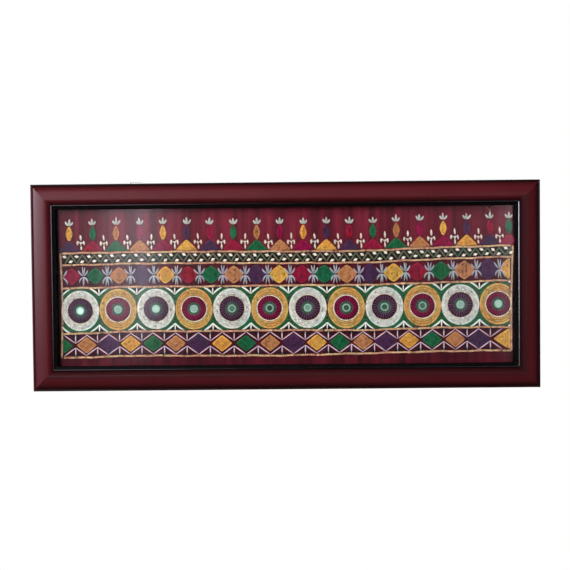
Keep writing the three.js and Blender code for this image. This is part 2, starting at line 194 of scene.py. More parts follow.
# Small straight-stitch figures as strokes: start (x, z), end (x, z), width and sideways bend
CROWN = [
    ((0.0, 0.9), (0.0, 9.0), 2.5, 0.0),
    ((0.5, 0.9), (4.3, 5.9), 2.6, -0.5),
    ((-0.5, 0.9), (-4.3, 5.9), 2.6, 0.5),
]
CANDELABRA = [
    ((0.4, 2.2), (0.1, 8.0), 2.1, 0.0),
    ((0.1, 7.8), (0.0, 12.0), 1.5, 0.0),
    ((0.2, 14.0), (-0.2, 21.2), 2.3, 0.0),
    ((0.2, 10.4), (3.2, 11.6), 1.1, 0.3),
    ((-0.2, 10.4), (-3.4, 11.4), 1.1, -0.3),
    ((3.1, 13.4), (3.6, 8.0), 2.1, 0.3),
    ((-3.9, 13.4), (-3.9, 7.8), 2.4, -0.3),
]
SPRIG = [
    ((-0.3, 1.2), (-1.7, 11.6), 1.6, 0.0),
    ((0.3, 1.2), (1.5, 11.6), 1.6, 0.0),
    ((-0.3, 0.5), (-6.6, 7.4), 2.0, 0.7),
    ((0.3, 0.5), (5.8, 8.2), 2.0, -0.7),
    ((-0.4, -1.0), (-1.5, -11.6), 1.6, 0.0),
    ((0.4, -1.0), (1.5, -11.6), 1.6, 0.0),
    ((-0.3, -0.6), (-5.4, -8.4), 2.0, -1.3),
    ((0.3, -0.6), (5.9, -8.6), 2.0, 1.3),
]
# What is left of the first sprig, which the left border cuts, and how far it is shifted
CUT_SPRIG = [SPRIG[3], SPRIG[7]]
CUT_SPRIG_SHIFT = 3
# How the figures are laid: height above the ground and tone
CROWN_LAY = {"lift": 0.1, "tone": -0.3}
CANDELABRA_LAY = {"lift": 0.1, "tone": -0.12}
SPRIG_LAY = {"lift": 0.5, "tone": -0.14}
# Forks that stand on a line between roundels and between lower diamonds: how far the arms reach along the
# line, their depth, width and bend, the spike's length and width, and the dark corner behind them
WHITE_FORK = {
    "dye": "white", "reach": 11.0, "depth": 8.8, "start": 0.1, "width": 2.0, "bend": 1.0, "lift": 0.5,
    "spike": 8.0, "spike_width": 1.6, "dark_reach": 7.4, "dark_depth": 5.8,
}
LATTICE_FORK = {
    "dye": "orchid", "reach": 14.2, "depth": 11.0, "start": 0.8, "width": 1.4, "bend": 0.0, "lift": 0.25,
    "spike": 9.8, "spike_width": 1.5, "dark_reach": 7.0, "dark_depth": 7.5,
}

# Zigzag band: spacing of the white lozenges, the size of each, and the dark stitches behind
LOZENGE = {
    "count": 38, "first": -271, "last": 270, "stagger": 6.8, "inset": 2.9,
    "long": 5.6, "short": 4.2, "tilt": 20, "strands": 7, "span": 0.9, "taper": 0.94,
}
LOZENGE_STITCH = {"width": 0.85, "lift": 0.55, "tone": 0.34}
ZIGZAG = {"gap": 0.42, "inset": 0.9}
ZIGZAG_STITCH = {"width": 0.78, "lift": 0.4}
DARK_PITCH = 0.95
BAND_INSET = 2
DARK_SLACK = 0.1
BAND_STITCH = {"width": 1.05 * DARK_PITCH, "lift": 0.02}
CORNER_STITCH = {"width": 1.1 * DARK_PITCH, "lift": 0.03}

# A loose end of an older stitched edge that shows at the top right corner
STRAY_EDGE = [(257.5, 94.9), (268.0, 95.3), (281.0, 95.1)]
STRAY_LOOP = [(245.5, 95.2), (248.6, 93.0), (250.8, 89.6), (252.4, 92.2), (256.0, 95.0)]
STRAY_STITCH = {"width": 0.9, "strand": 0.45, "link": 2.0, "lift": 0.05, "tone": -0.25}

# Thread: the width of one strand, and of a chain row, its first place in a mound and its links
STRAND = 0.78
ROW_PITCH = 2.2
ARCH_START = 0.35
LINK = 2.7
CORD = {"width": 2.5, "strand": 1.0, "link": 2.6, "tone": -0.02}
CORD_LIFT = 0.12
BORDER_LIFT = 0.2
STRAND_FLATNESS = 0.72
STATIONS = 4
SIDES = 4
# Pads under filled motifs, as steps: share of the way in from the edge, and height
PAD_HEIGHT = 0.28
DOME_PAD = [(0.0, -0.2), (0.01, PAD_HEIGHT * 0.6), (0.1, PAD_HEIGHT), (0.9, PAD_HEIGHT)]
RING_PAD = [(0.0, -0.2), (0.06, PAD_HEIGHT), (0.94, PAD_HEIGHT), (1.0, -0.2)]
# Tone of the stitches, dark 0 to light 1: what they have in common, how much strands, links and rows differ,
# how many links lie in shade and by how much, the painted highlight on the outer row of a filled motif, and
# the painted shade of the pads in the gaps between rows
BASE_TONE = 0.66
STRAND_TONE = 0.06
LINK_TONE = 0.12
ROW_TONE = 0.13
FLECK_SHARE = 0.1
FLECK_TONE = 0.28
EDGE_HIGHLIGHT_TONE = 0.16
PAD_SHADE_TONE = 0.24
# Unevenness of the hand: shares of a link's length and bow, and spreads in millimetres and degrees
UNEVEN = {
    "link_start": 0.05, "link_length": 0.04, "bow": 0.08, "height": 0.02, "petal_side": 0.05,
    "petal_height": 0.04, "figure": 0.25, "stroke_end": 0.45, "lozenge": 0.4, "lozenge_tilt": 8,
}
# Profiles along a strand: steps, bow and rise of a leg of chain stitch, and the same of other stitches
LEG_STEPS = np.array([0.0, 0.32, 0.74, 1.1])
LEG_BOW = np.array([0.16, 0.82, 1.0, 0.2])
LEG_RISE = np.array([0.5, 1.0, 0.85, 0.25])
TAPER = np.array([0.62, 1.0, 1.0, 0.62])
STRAIGHT_RISE = np.array([0.3, 1.0, 1.0, 0.3])
PETAL_SWELL = np.array([0.35, 1.0, 0.95, 0.25])
PETAL_RISE = np.array([0.2, 0.75, 0.75, 0.2])
PETAL_STRAND = 1.1 * STRAND

# Colours of dyes, each a main and a second skein, and of finishes: red, green and blue out of 255
DYES = {
    "cord": [(206, 150, 124), (222, 176, 138)],
    "tan": [(180, 119, 72), (184, 122, 84)],
    "gold": [(212, 162, 76), (212, 148, 68)],
    "honey": [(204, 162, 94), (206, 150, 84)],
    "green": [(24, 94, 56), (26, 100, 68)],
    "purple": [(76, 39, 77), (67, 41, 70)],
    "mauve": [(114, 70, 98), (102, 64, 92)],
    "rose": [(154, 18, 78), (144, 16, 70)],
    "crimson": [(144, 16, 40), (142, 18, 58)],
    "magenta": [(146, 8, 70), (132, 8, 56)],
    "white": [(215, 209, 204), (208, 208, 206)],
    "blush": [(236, 206, 198), (226, 198, 184)],
    "lilac": [(160, 164, 172), (166, 158, 174)],
    "orchid": [(194, 164, 178), (188, 164, 186)],
    "dark": [(38, 14, 20), (30, 18, 24)],
    "bottle": [(20, 10, 6), (13, 11, 7)],
    "moss": [(78, 88, 82), (66, 82, 76)],
    "ash": [(122, 116, 98), (98, 112, 92)],
    "mint": [(160, 205, 182), (148, 194, 170)],
}
# Light on a dye in its darkest and lightest stitches
DYE_LIGHT = (0.15, 1.45)
GROUND_RED = (93, 16, 34)
# Light on the ground at shares of the height of the cloth; the worked bands are the darkest
GROUND_SHADE = [(0.0, 0.6), (0.06, 0.42), (0.64, 0.42), (0.76, 0.8), (1.0, 1.0)]
# Painted shadow of the lip in strips at the left and right edges of the ground, as the light on shares of the
# width of the cloth
PAINTED_EDGE_SHADOW = [(0.0, 0.12), (0.0125, 0.12), (0.016, 1.0), (0.985, 1.0), (0.9885, 0.2), (1.0, 0.2)]
LACQUER_RED = (63, 13, 19)
LACQUER_BLACK = (7, 6, 6)
# The metallic greys of the inner bead where it is dull and where it is bright; the right rail's is lighter, a
# painted highlight of the light from the left
BEAD_GREYS = {
    "graphite_bead": [(104, 102, 106), (130, 128, 132)],
    "highlight_painted_bead": [(182, 180, 184), (212, 210, 214)],
}
# How red the lacquer is at places inward from the outer edge: on the top rail, the left rail and the others,
# whose face has painted shade that deepens towards the inner bead
EVEN_BANDS = [(0.6, 0.0), (3.0, 0.4), (9.0, 1.0), (24.4, 1.0), (25.4, 0.4), (27.0, 0.0)]
# On the left rail the outer edge is lighter: a painted sheen of the light from the left
SHEEN_PAINTED_BANDS = [(0.6, 0.6), (3.0, 0.9), *EVEN_BANDS[2:]]
SHADE_PAINTED_BANDS = [
    *EVEN_BANDS[:3], (12.0, 0.95), (15.0, 0.83), (17.5, 0.6), (20.0, 0.43), (22.0, 0.36), (24.5, 0.2),
    (27.0, 0.0),
]
# Lacquers of the face, and a dull one for the inner shoulder of the rails with painted shade
GLOSSY = {"coat": 0.1, "specular": 0.4, "roughness": (0.26, 0.42)}
MATT = {"coat": 0.0, "specular": 0.06, "roughness": (0.45, 0.6)}
LACQUERS = {
    "red_black_lacquer": {"bands": EVEN_BANDS, **GLOSSY},
    "sheen_painted_lacquer": {"bands": SHEEN_PAINTED_BANDS, **GLOSSY},
    "shade_painted_lacquer": {"bands": SHADE_PAINTED_BANDS, **GLOSSY},
    "dull_shade_painted_lacquer": {"bands": SHADE_PAINTED_BANDS, **MATT},
}


def linear(colour):
    """A colour out of 255 as the linear red, green, blue and alpha that nodes take."""
    share = np.array(colour) / 255
    value = np.where(share <= 0.04045, share / 12.92, ((share + 0.055) / 1.055) ** 2.4)
    return (*value.tolist(), 1.0)


def lights(colour, *factors):
    """A colour out of 255 with its light multiplied by each factor."""
    base = np.array(linear(colour)[:3])
    return [(*np.minimum(base * factor, 1).tolist(), 1.0) for factor in factors]


# Materials


class Shader:
    """A material with short ways to add nodes and links to its tree."""

    def __init__(self, name):
        self.material = bpy.data.materials.new(name)
        self.material.use_nodes = True
        self.tree = self.material.node_tree
        self.surface = self.tree.nodes["Principled BSDF"]

    def add(self, kind, settings=None, **values):
        made = self.tree.nodes.new("ShaderNode" + kind)
        for key, value in (settings or {}).items():
            setattr(made, key, value)
        for key, value in values.items():
            made.inputs[key.replace("_", " ")].default_value = value
        return made

    def link(self, source, target):
        self.tree.links.new(source, target)

    def set(self, **values):
        for key, value in values.items():
            self.surface.inputs[key.replace("_", " ")].default_value = value

    def object_place(self, stretch=(1, 1, 1)):
        """Object coordinates, stretched along each axis."""
        coordinates = self.add("TexCoord")
        mapping = self.add("Mapping", Scale=stretch)
        self.link(coordinates.outputs["Object"], mapping.inputs["Vector"])
        return mapping.outputs["Vector"]

    def noise(self, scale, stretch=(1, 1, 1), detail=3.0):
        made = self.add("TexNoise", Scale=scale, Detail=detail)
        self.link(self.object_place(stretch), made.inputs["Vector"])
        return made.outputs["Fac"]

    def attribute(self, name):
        return self.add("Attribute", {"attribute_name": name}).outputs["Fac"]

    def between(self, factor, low, high):
        """Low and high colours mixed by a factor; each is a colour or an output."""
        mix = self.add("Mix", {"data_type": "RGBA"})
        self.link(factor, mix.inputs[0])
        for socket, colour in ((mix.inputs[6], low), (mix.inputs[7], high)):
            if isinstance(colour, tuple):
                socket.default_value = colour
            else:
                self.link(colour, socket)
        return mix.outputs[2]

    def ramp(self, factor, stops):
        """A colour ramp with (place, colour) stops."""
        made = self.add("ValToRGB")
        elements = made.color_ramp.elements
        while len(elements) < len(stops):
            elements.new(0.5)
        for element, (place, colour) in zip(elements, stops):
            element.position = place
            element.color = colour
        self.link(factor, made.inputs["Fac"])
        return made.outputs["Color"]

    def greys(self, factor, stops):
        """A ramp of greys with (place, depth) stops."""
        return self.ramp(factor, [(place, (depth, depth, depth, 1)) for place, depth in stops])

    def times(self, colour, factor):
        """A colour multiplied by a factor."""
        mix = self.add("Mix", {"data_type": "RGBA", "blend_type": "MULTIPLY"})
        mix.inputs[0].default_value = 1
        self.link(colour, mix.inputs[6])
        self.link(factor, mix.inputs[7])
        return mix.outputs[2]

    def spread(self, factor, low, high, from_low=0, from_high=1):
        """A factor moved from one span, 0..1 if none is given, to low..high."""
        made = self.add("MapRange", From_Min=from_low, From_Max=from_high, To_Min=low, To_Max=high)
        self.link(factor, made.inputs["Value"])
        return made.outputs["Result"]

    def colour(self, output):
        self.link(output, self.surface.inputs["Base Color"])

    def roughness(self, factor, low, high):
        self.link(self.spread(factor, low, high), self.surface.inputs["Roughness"])

    def bump(self, height, strength, distance):
        made = self.add("Bump", Strength=strength, Distance=distance)
        self.link(height, made.inputs["Height"])
        self.link(made.outputs["Normal"], self.surface.inputs["Normal"])

    def replace_surface(self, output):
        """Puts another shader in place of the usual one."""
        self.tree.nodes.remove(self.surface)
        self.link(output, self.tree.nodes["Material Output"].inputs["Surface"])

    def brushed(self):
        """The fine bump of brushed paint."""
        self.bump(self.noise(520, detail=2), 0.05, 0.0003)


def two_tone(name, colours, roughness, **grain):
    """A shader whose colour and roughness follow one grain of noise."""
    shader = Shader(name)
    shader.grain = shader.noise(**grain)
    shader.colour(shader.between(shader.grain, *colours))
    shader.roughness(shader.grain, *roughness)
    return shader


def thread_material(dye):
    """Stranded cotton: each stitch has its own tone, which also carries painted shade and painted highlight,
    the dye drifts across the cloth, and fibres are fine.
    """
    shader = Shader("thread_" + dye)
    tone = shader.attribute("tone")
    skeins = [shader.between(tone, *lights(colour, *DYE_LIGHT)) for colour in DYES[dye]]
    drift = shader.spread(shader.noise(38, detail=1), 0, 1, 0.4, 0.6)
    shader.colour(shader.between(drift, *skeins))
    fibres = shader.noise(5200, stretch=(1, 1, 0.6), detail=2)
    shader.roughness(fibres, 0.42, 0.7)
    shader.bump(fibres, 0.35, 0.0002)
    shader.set(Sheen_Weight=0.02, Sheen_Roughness=0.45, Specular_IOR_Level=0.18)
    return shader.material


def satin_material():
    """Maroon satin with upright streaks and a fine thread grain, painted shade that follows the height of the
    cloth, and a painted shadow along its left and right edges.
    """
    shader = Shader("maroon_satin")
    streaks = shader.noise(60, stretch=(2.2, 1, 0.1))
    fine = shader.noise(1500, stretch=(1, 1, 0.03), detail=2)
    wide = shader.ramp(streaks, list(zip((0.36, 0.66), lights(GROUND_RED, 0.4, 1.7))))
    narrow = shader.between(fine, *lights(GROUND_RED, 0.6, 1.4))
    woven = shader.between(shader.spread(shader.noise(14), 0.2, 0.45), wide, narrow)
    place = shader.add("SeparateXYZ")
    shader.link(shader.object_place(), place.inputs[0])
    for axis, size, shades in (("Z", SHEET_HEIGHT, GROUND_SHADE), ("X", SHEET_WIDTH, PAINTED_EDGE_SHADOW)):
        share = shader.spread(place.outputs[axis], 0, 1, -size / 2 * MM, size / 2 * MM)
        woven = shader.times(woven, shader.greys(share, shades))
    shader.colour(woven)
    shader.roughness(fine, 0.45, 0.7)
    shader.bump(fine, 0.4, 0.0003)
    shader.set(Sheen_Weight=0.02, Sheen_Roughness=0.4, Specular_IOR_Level=0.25)
    return shader.material


def lacquer_material(name):
    """Dark red lacquer that is shaded to black along the outer arris and the inner bead and lip; on some
    rails its bands also paint sheen or shade.
    """
    shader = Shader(name)
    gloss = LACQUERS[name]
    red = shader.between(shader.noise(26), *lights(LACQUER_RED, 0.82, 1.16))
    place = shader.add("Math", {"operation": "ADD"})
    inward = shader.spread(shader.attribute("inward"), 0, 1, 0, MOULDING_WIDTH)
    worn = shader.spread(shader.noise(90, detail=4), -0.012, 0.012)
    shader.link(inward, place.inputs[0])
    shader.link(worn, place.inputs[1])
    stops = [(inset / MOULDING_WIDTH, depth) for inset, depth in gloss["bands"]]
    band = shader.greys(place.outputs["Value"], stops)
    shader.colour(shader.between(band, linear(LACQUER_BLACK), red))
    shader.roughness(shader.noise(340, detail=5), *gloss["roughness"])
    shader.brushed()
    shader.set(Coat_Weight=gloss["coat"], Coat_Roughness=0.25, Specular_IOR_Level=gloss["specular"])
    return shader.material


def bead_material(name):
    """Black inner bead with a graphite lustre; the lighter greys of one bead paint a highlight."""
    greys = [linear(grey) for grey in BEAD_GREYS[name]]
    shader = two_tone(name, greys, (0.16, 0.3), scale=150)
    shader.brushed()
    shader.set(Metallic=1.0)
    return shader.material


def lip_material():
    """Dull black paint on the lip between the bead and the glass."""
    blacks = lights(LACQUER_BLACK, 0.5, 1.2)
    shader = two_tone("dull_black_lip", blacks, (0.45, 0.62), scale=180)
    shader.brushed()
    shader.set(Specular_IOR_Level=0.07)
    return shader.material


def bare_wood_material():
    """Unpainted wood on the back of the moulding and in its rebate."""
    shader = Shader("bare_wood")
    grain = shader.noise(42, stretch=(0.12, 1, 1.2), detail=6)
    shader.colour(shader.ramp(grain, [
        (0.3, linear((120, 84, 52))),
        (0.55, linear((176, 134, 90))),
        (0.75, linear((150, 108, 68))),
    ]))
    shader.roughness(grain, 0.6, 0.85)
    shader.bump(grain, 0.25, 0.0005)
    return shader.material


def hardboard_material():
    """Pressed brown fibre board."""
    shader = Shader("hardboard")
    fibres = shader.noise(420, stretch=(1, 1, 0.35), detail=6)
    blotch = shader.noise(12, detail=2)
    pale = shader.between(fibres, linear((86, 58, 36)), linear((138, 100, 66)))
    dark = shader.between(fibres, linear((74, 48, 30)), linear((118, 82, 52)))
    shader.colour(shader.between(blotch, dark, pale))
    shader.roughness(fibres, 0.6, 0.9)
    shader.bump(fibres, 0.4, 0.0004)
    return shader.material


def steel_material():
    """Zinc-bright steel with fine scratches."""
    greys = [linear((214, 214, 210)), linear((236, 236, 232))]
    shader = two_tone("plated_steel", greys, (0.25, 0.5), scale=900, stretch=(1, 0.2, 1), detail=4)
    shader.bump(shader.grain, 0.15, 0.0001)
    shader.set(Metallic=0.35)
    return shader.material


def mirror_material():
    """Old blown mirror glass: greenish silver, painted bright in some pieces and dark in others as the
    reflection each one shows.
    """
    shader = Shader("old_mirror")
    cloud = shader.noise(700, detail=3)
    clear = shader.between(cloud, linear((206, 236, 228)), linear((232, 255, 248)))
    dull = shader.between(cloud, linear((48, 66, 58)), linear((68, 88, 78)))
    shader.colour(shader.between(shader.attribute("painted_reflection"), dull, clear))
    shader.roughness(cloud, 0.1, 0.3)
    shader.bump(shader.noise(160), 0.12, 0.0008)
    shader.set(Metallic=0.3)
    return shader.material


def glass_material():
    """Clear picture glass: light passes straight on, and the surface mirrors by its angle."""
    shader = Shader("picture_glass")
    clear = shader.add("BsdfTransparent", Color=(0.97, 0.985, 0.975, 1))
    gloss = shader.add("BsdfGlossy")
    shader.link(shader.spread(shader.noise(30, detail=2), 0.02, 0.07), gloss.inputs["Roughness"])
    slant = shader.add("LayerWeight", Blend=0.5)
    steep = shader.add("Math", {"operation": "POWER"})
    steep.inputs[1].default_value = 5
    shader.link(slant.outputs["Facing"], steep.inputs[0])
    mix = shader.add("MixShader")
    shader.link(shader.spread(steep.outputs["Value"], 0.04, 1.0), mix.inputs["Fac"])
    shader.link(clear.outputs["BSDF"], mix.inputs[1])
    shader.link(gloss.outputs["BSDF"], mix.inputs[2])
    shader.replace_surface(mix.outputs["Shader"])
    return shader.material


def floor_material():
    """Pale studio floor with a faint mottle."""
    greys = [linear((226, 226, 224)), linear((236, 236, 234))]
    return two_tone("pale_floor", greys, (0.7, 0.85), scale=3).material


# Meshes


def to_world(x, z, forward):
    """Points in metres from places on the panel in millimetres."""
    return np.stack([x, -np.asarray(forward), z], axis=-1) * MM


def on_cloth(points):
    """Points in metres from rows of x, z and height above the ground of the cloth."""
    return to_world(points[:, 0], points[:, 1], CLOTH_FACE + points[:, 2])


def raised(loop, height):
    """A loop of (x, z) points with a height added."""
    return np.column_stack([loop, np.full(len(loop), height)])


def add_to_scene(name, data):
    made = bpy.data.objects.new(name, data)
    bpy.context.scene.collection.objects.link(made)
    return made


def make_object(name, verts, faces, materials):
    mesh = bpy.data.meshes.new(name)
    mesh.from_pydata(np.asarray(verts).tolist(), [], faces)
    for material in materials:
        mesh.materials.append(material)
    return add_to_scene(name, mesh)


def make_piece(name, verts, faces, materials, replaced=()):
    """A mesh object that rides with the panel, in place of the solids it replaces."""
    piece = make_object(name, verts, faces, materials)
    piece.data.shade_smooth()
    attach(piece, "root")
    if replaced:
        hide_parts(*replaced)
    return piece


def set_point_values(piece, name, values):
    """A number at each point of the mesh, for a material to read."""
    attribute = piece.data.attributes.new(name, "FLOAT", "POINT")
    attribute.data.foreach_set("value", np.asarray(values, np.float32))


def bridge(first, second, count):
    """Quads between two closed loops of points, by the number of their first points."""
    return [
        [first + i, first + (i + 1) % count, second + (i + 1) % count, second + i]
        for i in range(count)
    ]


def tube(rings, count, hollow=False):
    """Faces through rings of points, with a cap at each end or the last ring joined to the first."""
    faces = []
    for ring in range(rings if hollow else rings - 1):
        faces += bridge(ring * count, (ring + 1) % rings * count, count)
    if not hollow:
        faces.append(list(range((rings - 1) * count, rings * count)))
        faces.append(list(range(count))[::-1])
    return faces


def grid_quads(number):
    """Quads of a grid of points, from the numbers of the points in their rows."""
    corners = [number[:-1, :-1], number[:-1, 1:], number[1:, 1:], number[1:, :-1]]
    return np.stack(corners, axis=-1).reshape(-1, 4).tolist()


def quadratic(start, control, end, steps):
    """Points of a quadratic curve after its start."""
    t = np.linspace(0, 1, steps + 1)[1:, None]
    start, control, end = (np.array(point, float) for point in (start, control, end))
    return (1 - t) ** 2 * start + 2 * (1 - t) * t * control + t ** 2 * end


def sideways(steps):
    """Unit vectors to the left of steps in x and z."""
    across = np.stack([-steps[..., 1], steps[..., 0]], axis=-1)
    return across / np.maximum(np.linalg.norm(across, axis=-1, keepdims=True), TINY)


# Stitching


class Stitches:
    """The strands and pads of one dye, gathered row by row and then made into one mesh."""

    def __init__(self, dye):
        self.dye = dye
        self.lines = []
        self.widths = []
        self.tones = []
        self.pads = []

    def add(self, flat, height, widths, tone):
        """Strands as (x, z) places and heights, with a width, at each of their stations."""
        lines = np.concatenate([flat, height[..., None]], axis=-1)
        inside = np.abs(lines[:, :, 0]).max(axis=1) < SHEET_WIDTH / 2
        own_tone = np.clip(BASE_TONE + tone + dice.normal(0, STRAND_TONE, len(lines)), 0, 1)
        self.lines.append(lines[inside])
        self.widths.append(np.broadcast_to(widths, lines.shape[:2])[inside])
        self.tones.append(own_tone[inside])

    def strand_mesh(self, cells):
        """Tubes round all the strands: points, quads, map corners and tones."""
        lines = np.concatenate(self.lines)
        widths = np.concatenate(self.widths)
        tones = np.concatenate(self.tones)
        across = sideways(np.gradient(lines, axis=1))
        turn = 2 * math.pi * np.arange(SIDES) / SIDES
        half = widths[:, :, None] / 2
        side = half * np.cos(turn)
        x = lines[:, :, None, 0] + across[:, :, None, 0] * side
        z = lines[:, :, None, 1] + across[:, :, None, 1] * side
        height = lines[:, :, None, 2] + half * STRAND_FLATNESS * np.sin(turn)
        verts = to_world(x, z, CLOTH_FACE + height).reshape(-1, 3)

        quads = np.array(tube(STATIONS, SIDES))
        first_points = np.arange(len(lines)) * STATIONS * SIDES
        faces = (quads + first_points[:, None, None]).reshape(-1, SIDES)

        ring, corner = np.divmod(quads[:-2, 0], SIDES)
        left, low = corner / SIDES, ring / STATIONS
        right, high = left + 1 / SIDES, low + 1 / STATIONS
        wall_map = np.stack([left, low, right, low, right, high, left, high], axis=1).reshape(-1, 4, 2)
        cap_low = (STATIONS - 1) / STATIONS
        cap = np.array([[0.0, 0.0], [0.4, 0.0], [0.4, 1.0], [0.0, 1.0]])
        cap_size = np.array([1.0, 1 / STATIONS])
        cap_maps = [cap * cap_size + (start, cap_low) for start in (0.5, 0.0)]
        cell_map = np.concatenate([wall_map, cap_maps]).reshape(-1, 2)
        corners = self.in_cells(np.arange(len(lines)), cell_map, cells)
        return verts, faces.tolist(), corners, np.repeat(tones, STATIONS * SIDES)

    @staticmethod
    def in_cells(numbers, places, cells):
        """Places inside one cell (0 to 1), put into the numbered cells of a square sheet of cells."""
        margin = 0.12
        corner = np.stack([numbers % cells, numbers // cells], axis=-1)[:, None]
        return ((corner + margin + places * (1 - 2 * margin)) / cells).reshape(-1, 2)

    def build(self):
        """One piece with all strands and pads of this dye."""
        strands = sum(len(lines) for lines in self.lines)
        cells = math.ceil(math.sqrt(strands + len(self.pads)))
        verts, faces, corners, tones = self.strand_mesh(cells)
        all_verts, all_corners, all_tones = [verts], [corners], [tones]
        start = len(verts)
        for number, (points, pad_faces) in enumerate(self.pads):
            all_verts.append(on_cloth(points))
            faces += [[start + index for index in face] for face in pad_faces]
            flat = points[:, :2] - points[:, :2].min(axis=0)
            flat = flat / flat.max()
            order = np.concatenate([np.array(face) for face in pad_faces])
            all_corners.append(self.in_cells(np.array([strands + number]), flat[order], cells))
            # Pads take a darker tone: painted shade in the gaps between rows
            all_tones.append(np.full(len(points), PAD_SHADE_TONE))
            start += len(points)
        material = thread_material(self.dye)
        piece = make_piece("thread_" + self.dye, np.concatenate(all_verts), faces, [material])
        set_point_values(piece, "tone", np.concatenate(all_tones))
        unwrapped = piece.data.uv_layers.new(name="OFBake")
        unwrapped.data.foreach_set("uv", np.concatenate(all_corners).astype(np.float32).ravel())
        return piece


threads = {dye: Stitches(dye) for dye in DYES}


def walk(path, closed):
    """Distances along a path of (x, z) points, with the points to look them up in."""
    points = np.vstack([path, path[:1]]) if closed else np.asarray(path, float)
    steps = np.linalg.norm(np.diff(points, axis=0), axis=1)
    return np.concatenate([[0], np.cumsum(steps)]), points


def chain(dye, path, closed=False, width=ROW_PITCH, strand=STRAND, link=LINK, lift=PAD_HEIGHT, tone=0.0):
    """A row of chain stitch along a path: each link is two legs that bow apart and meet again."""
    distance, points = walk(path, closed)
    total = distance[-1]
    links = max(2, round(total / link))
    step = total / links
    starts = (np.arange(links) + dice.normal(0, UNEVEN["link_start"], links)) * step
    spots = starts[:, None] + LEG_STEPS * step * dice.normal(1, UNEVEN["link_length"], (links, 1))

    def look(at):
        """Points at distances along the path."""
        at = at % total if closed else np.clip(at, 0, total)
        return np.stack([np.interp(at, distance, points[:, axis]) for axis in (0, 1)], axis=-1)

    nudge = step * 0.4
    middle = look(spots)
    across = sideways(look(spots + nudge) - look(spots - nudge))
    tone = tone + dice.normal(0, LINK_TONE, links) - FLECK_TONE * (dice.random(links) < FLECK_SHARE)
    bow = (width - strand) / 2 * LEG_BOW * dice.normal(1, UNEVEN["bow"], (links, 1))
    height = lift + strand * STRAND_FLATNESS / 2 * LEG_RISE + dice.normal(0, UNEVEN["height"], (links, 1))
    for side in (-1, 1):
        threads[dye].add(middle + across * (side * bow)[..., None], height, strand * TAPER, tone)


def straight(dye, starts, ends, width=STRAND, lift=PAD_HEIGHT, end_lift=None, tone=0.0):
    """Straight stitches from starts to ends, each an array of (x, z) points."""
    share = np.linspace(0, 1, STATIONS)
    flat = starts[:, None] + (ends - starts)[:, None] * share[:, None]
    end_lift = lift if end_lift is None else end_lift
    rise = lift + (end_lift - lift) * share + width * STRAND_FLATNESS / 2 * STRAIGHT_RISE
    height = rise + dice.normal(0, UNEVEN["height"], (len(starts), 1))
    threads[dye].add(flat, height, width * TAPER, tone)


def petal(dye, start, end, width, bend=0.0, lift=PAD_HEIGHT, tone=0.0):
    """A leaf-shaped bundle of strands from start to end that may bend to one side."""
    start = np.array(start, float)
    reach = np.array(end, float) - start
    count = max(2, round(width / STRAND) + 1)
    share = np.linspace(0, 1, STATIONS)
    side = np.linspace(-0.5, 0.5, count)[:, None] * (width - STRAND) * PETAL_SWELL
    side = side + bend * 4 * share * (1 - share) + dice.normal(0, UNEVEN["petal_side"], (count, 1))
    flat = start + reach * share[:, None] + side[..., None] * sideways(reach)
    height = lift + STRAND * STRAND_FLATNESS * PETAL_RISE + dice.normal(0, UNEVEN["petal_height"], (count, 1))
    threads[dye].add(flat, height, PETAL_STRAND * TAPER, tone)


def figure(dye, strokes, x, z, lift, tone):
    """A small figure of petals drawn about a place."""
    place = np.array([x, z]) + dice.normal(0, UNEVEN["figure"], 2)
    for start, end, width, bend in strokes:
        tip = place + end + dice.normal(0, UNEVEN["stroke_end"], 2)
        petal(dye, place + start, tip, width, bend, lift, tone)


def pad(dye, outer, inner, steps, hollow=False):
    """A low closed pad of laid thread from a loop of points in to a middle or to an inner loop."""
    points = [raised(outer + (inner - outer) * share, height) for share, height in steps]
    threads[dye].pads.append((np.vstack(points), tube(len(steps), len(outer), hollow)))


def kept_inside(loop, limit):
    """A loop of points with its sides kept inside a limit to the left and right."""
    return np.clip(loop, (-limit, -np.inf), (limit, np.inf))


def padded(dye, outline, limit):
    """Lays a motif's pad inside a limit to the left and right; gives its outline there and its middle."""
    outline = kept_inside(outline, limit)
    middle = (outline.max(axis=0) + outline.min(axis=0)) / 2
    pad(dye, outline, middle, DOME_PAD)
    return outline, middle


def fill_round(dye, outline, limit):
    """A motif filled with rounds of chain stitch from its edge in to its middle, over a pad."""
    outline, middle = padded(dye, outline, limit)
    wide, high = (outline.max(axis=0) - outline.min(axis=0)) / 2
    reach = wide * high / math.hypot(wide, high)
    for number in range(max(1, int(reach / ROW_PITCH))):
        share = 1 - (number + 0.5) * ROW_PITCH / reach
        tone = EDGE_HIGHLIGHT_TONE if number == 0 else 0.0
        chain(dye, middle + (outline - middle) * share, closed=True, tone=tone)
    petal(dye, middle - (ROW_PITCH, 0), middle + (ROW_PITCH, 0), ROW_PITCH)


def fill_arches(dye, outline, foot, height, limit):
    """A mound filled with nested arches of chain stitch that stand on its foot, over a pad."""
    arch = outline[outline[:, 1] > foot[1]]
    padded(dye, outline, limit)
    for number in range(int(height / ROW_PITCH)):
        share = 1 - (number + ARCH_START) * ROW_PITCH / height
        chain(dye, foot + (arch - foot) * share, tone=EDGE_HIGHLIGHT_TONE if number == 0 else 0.0)


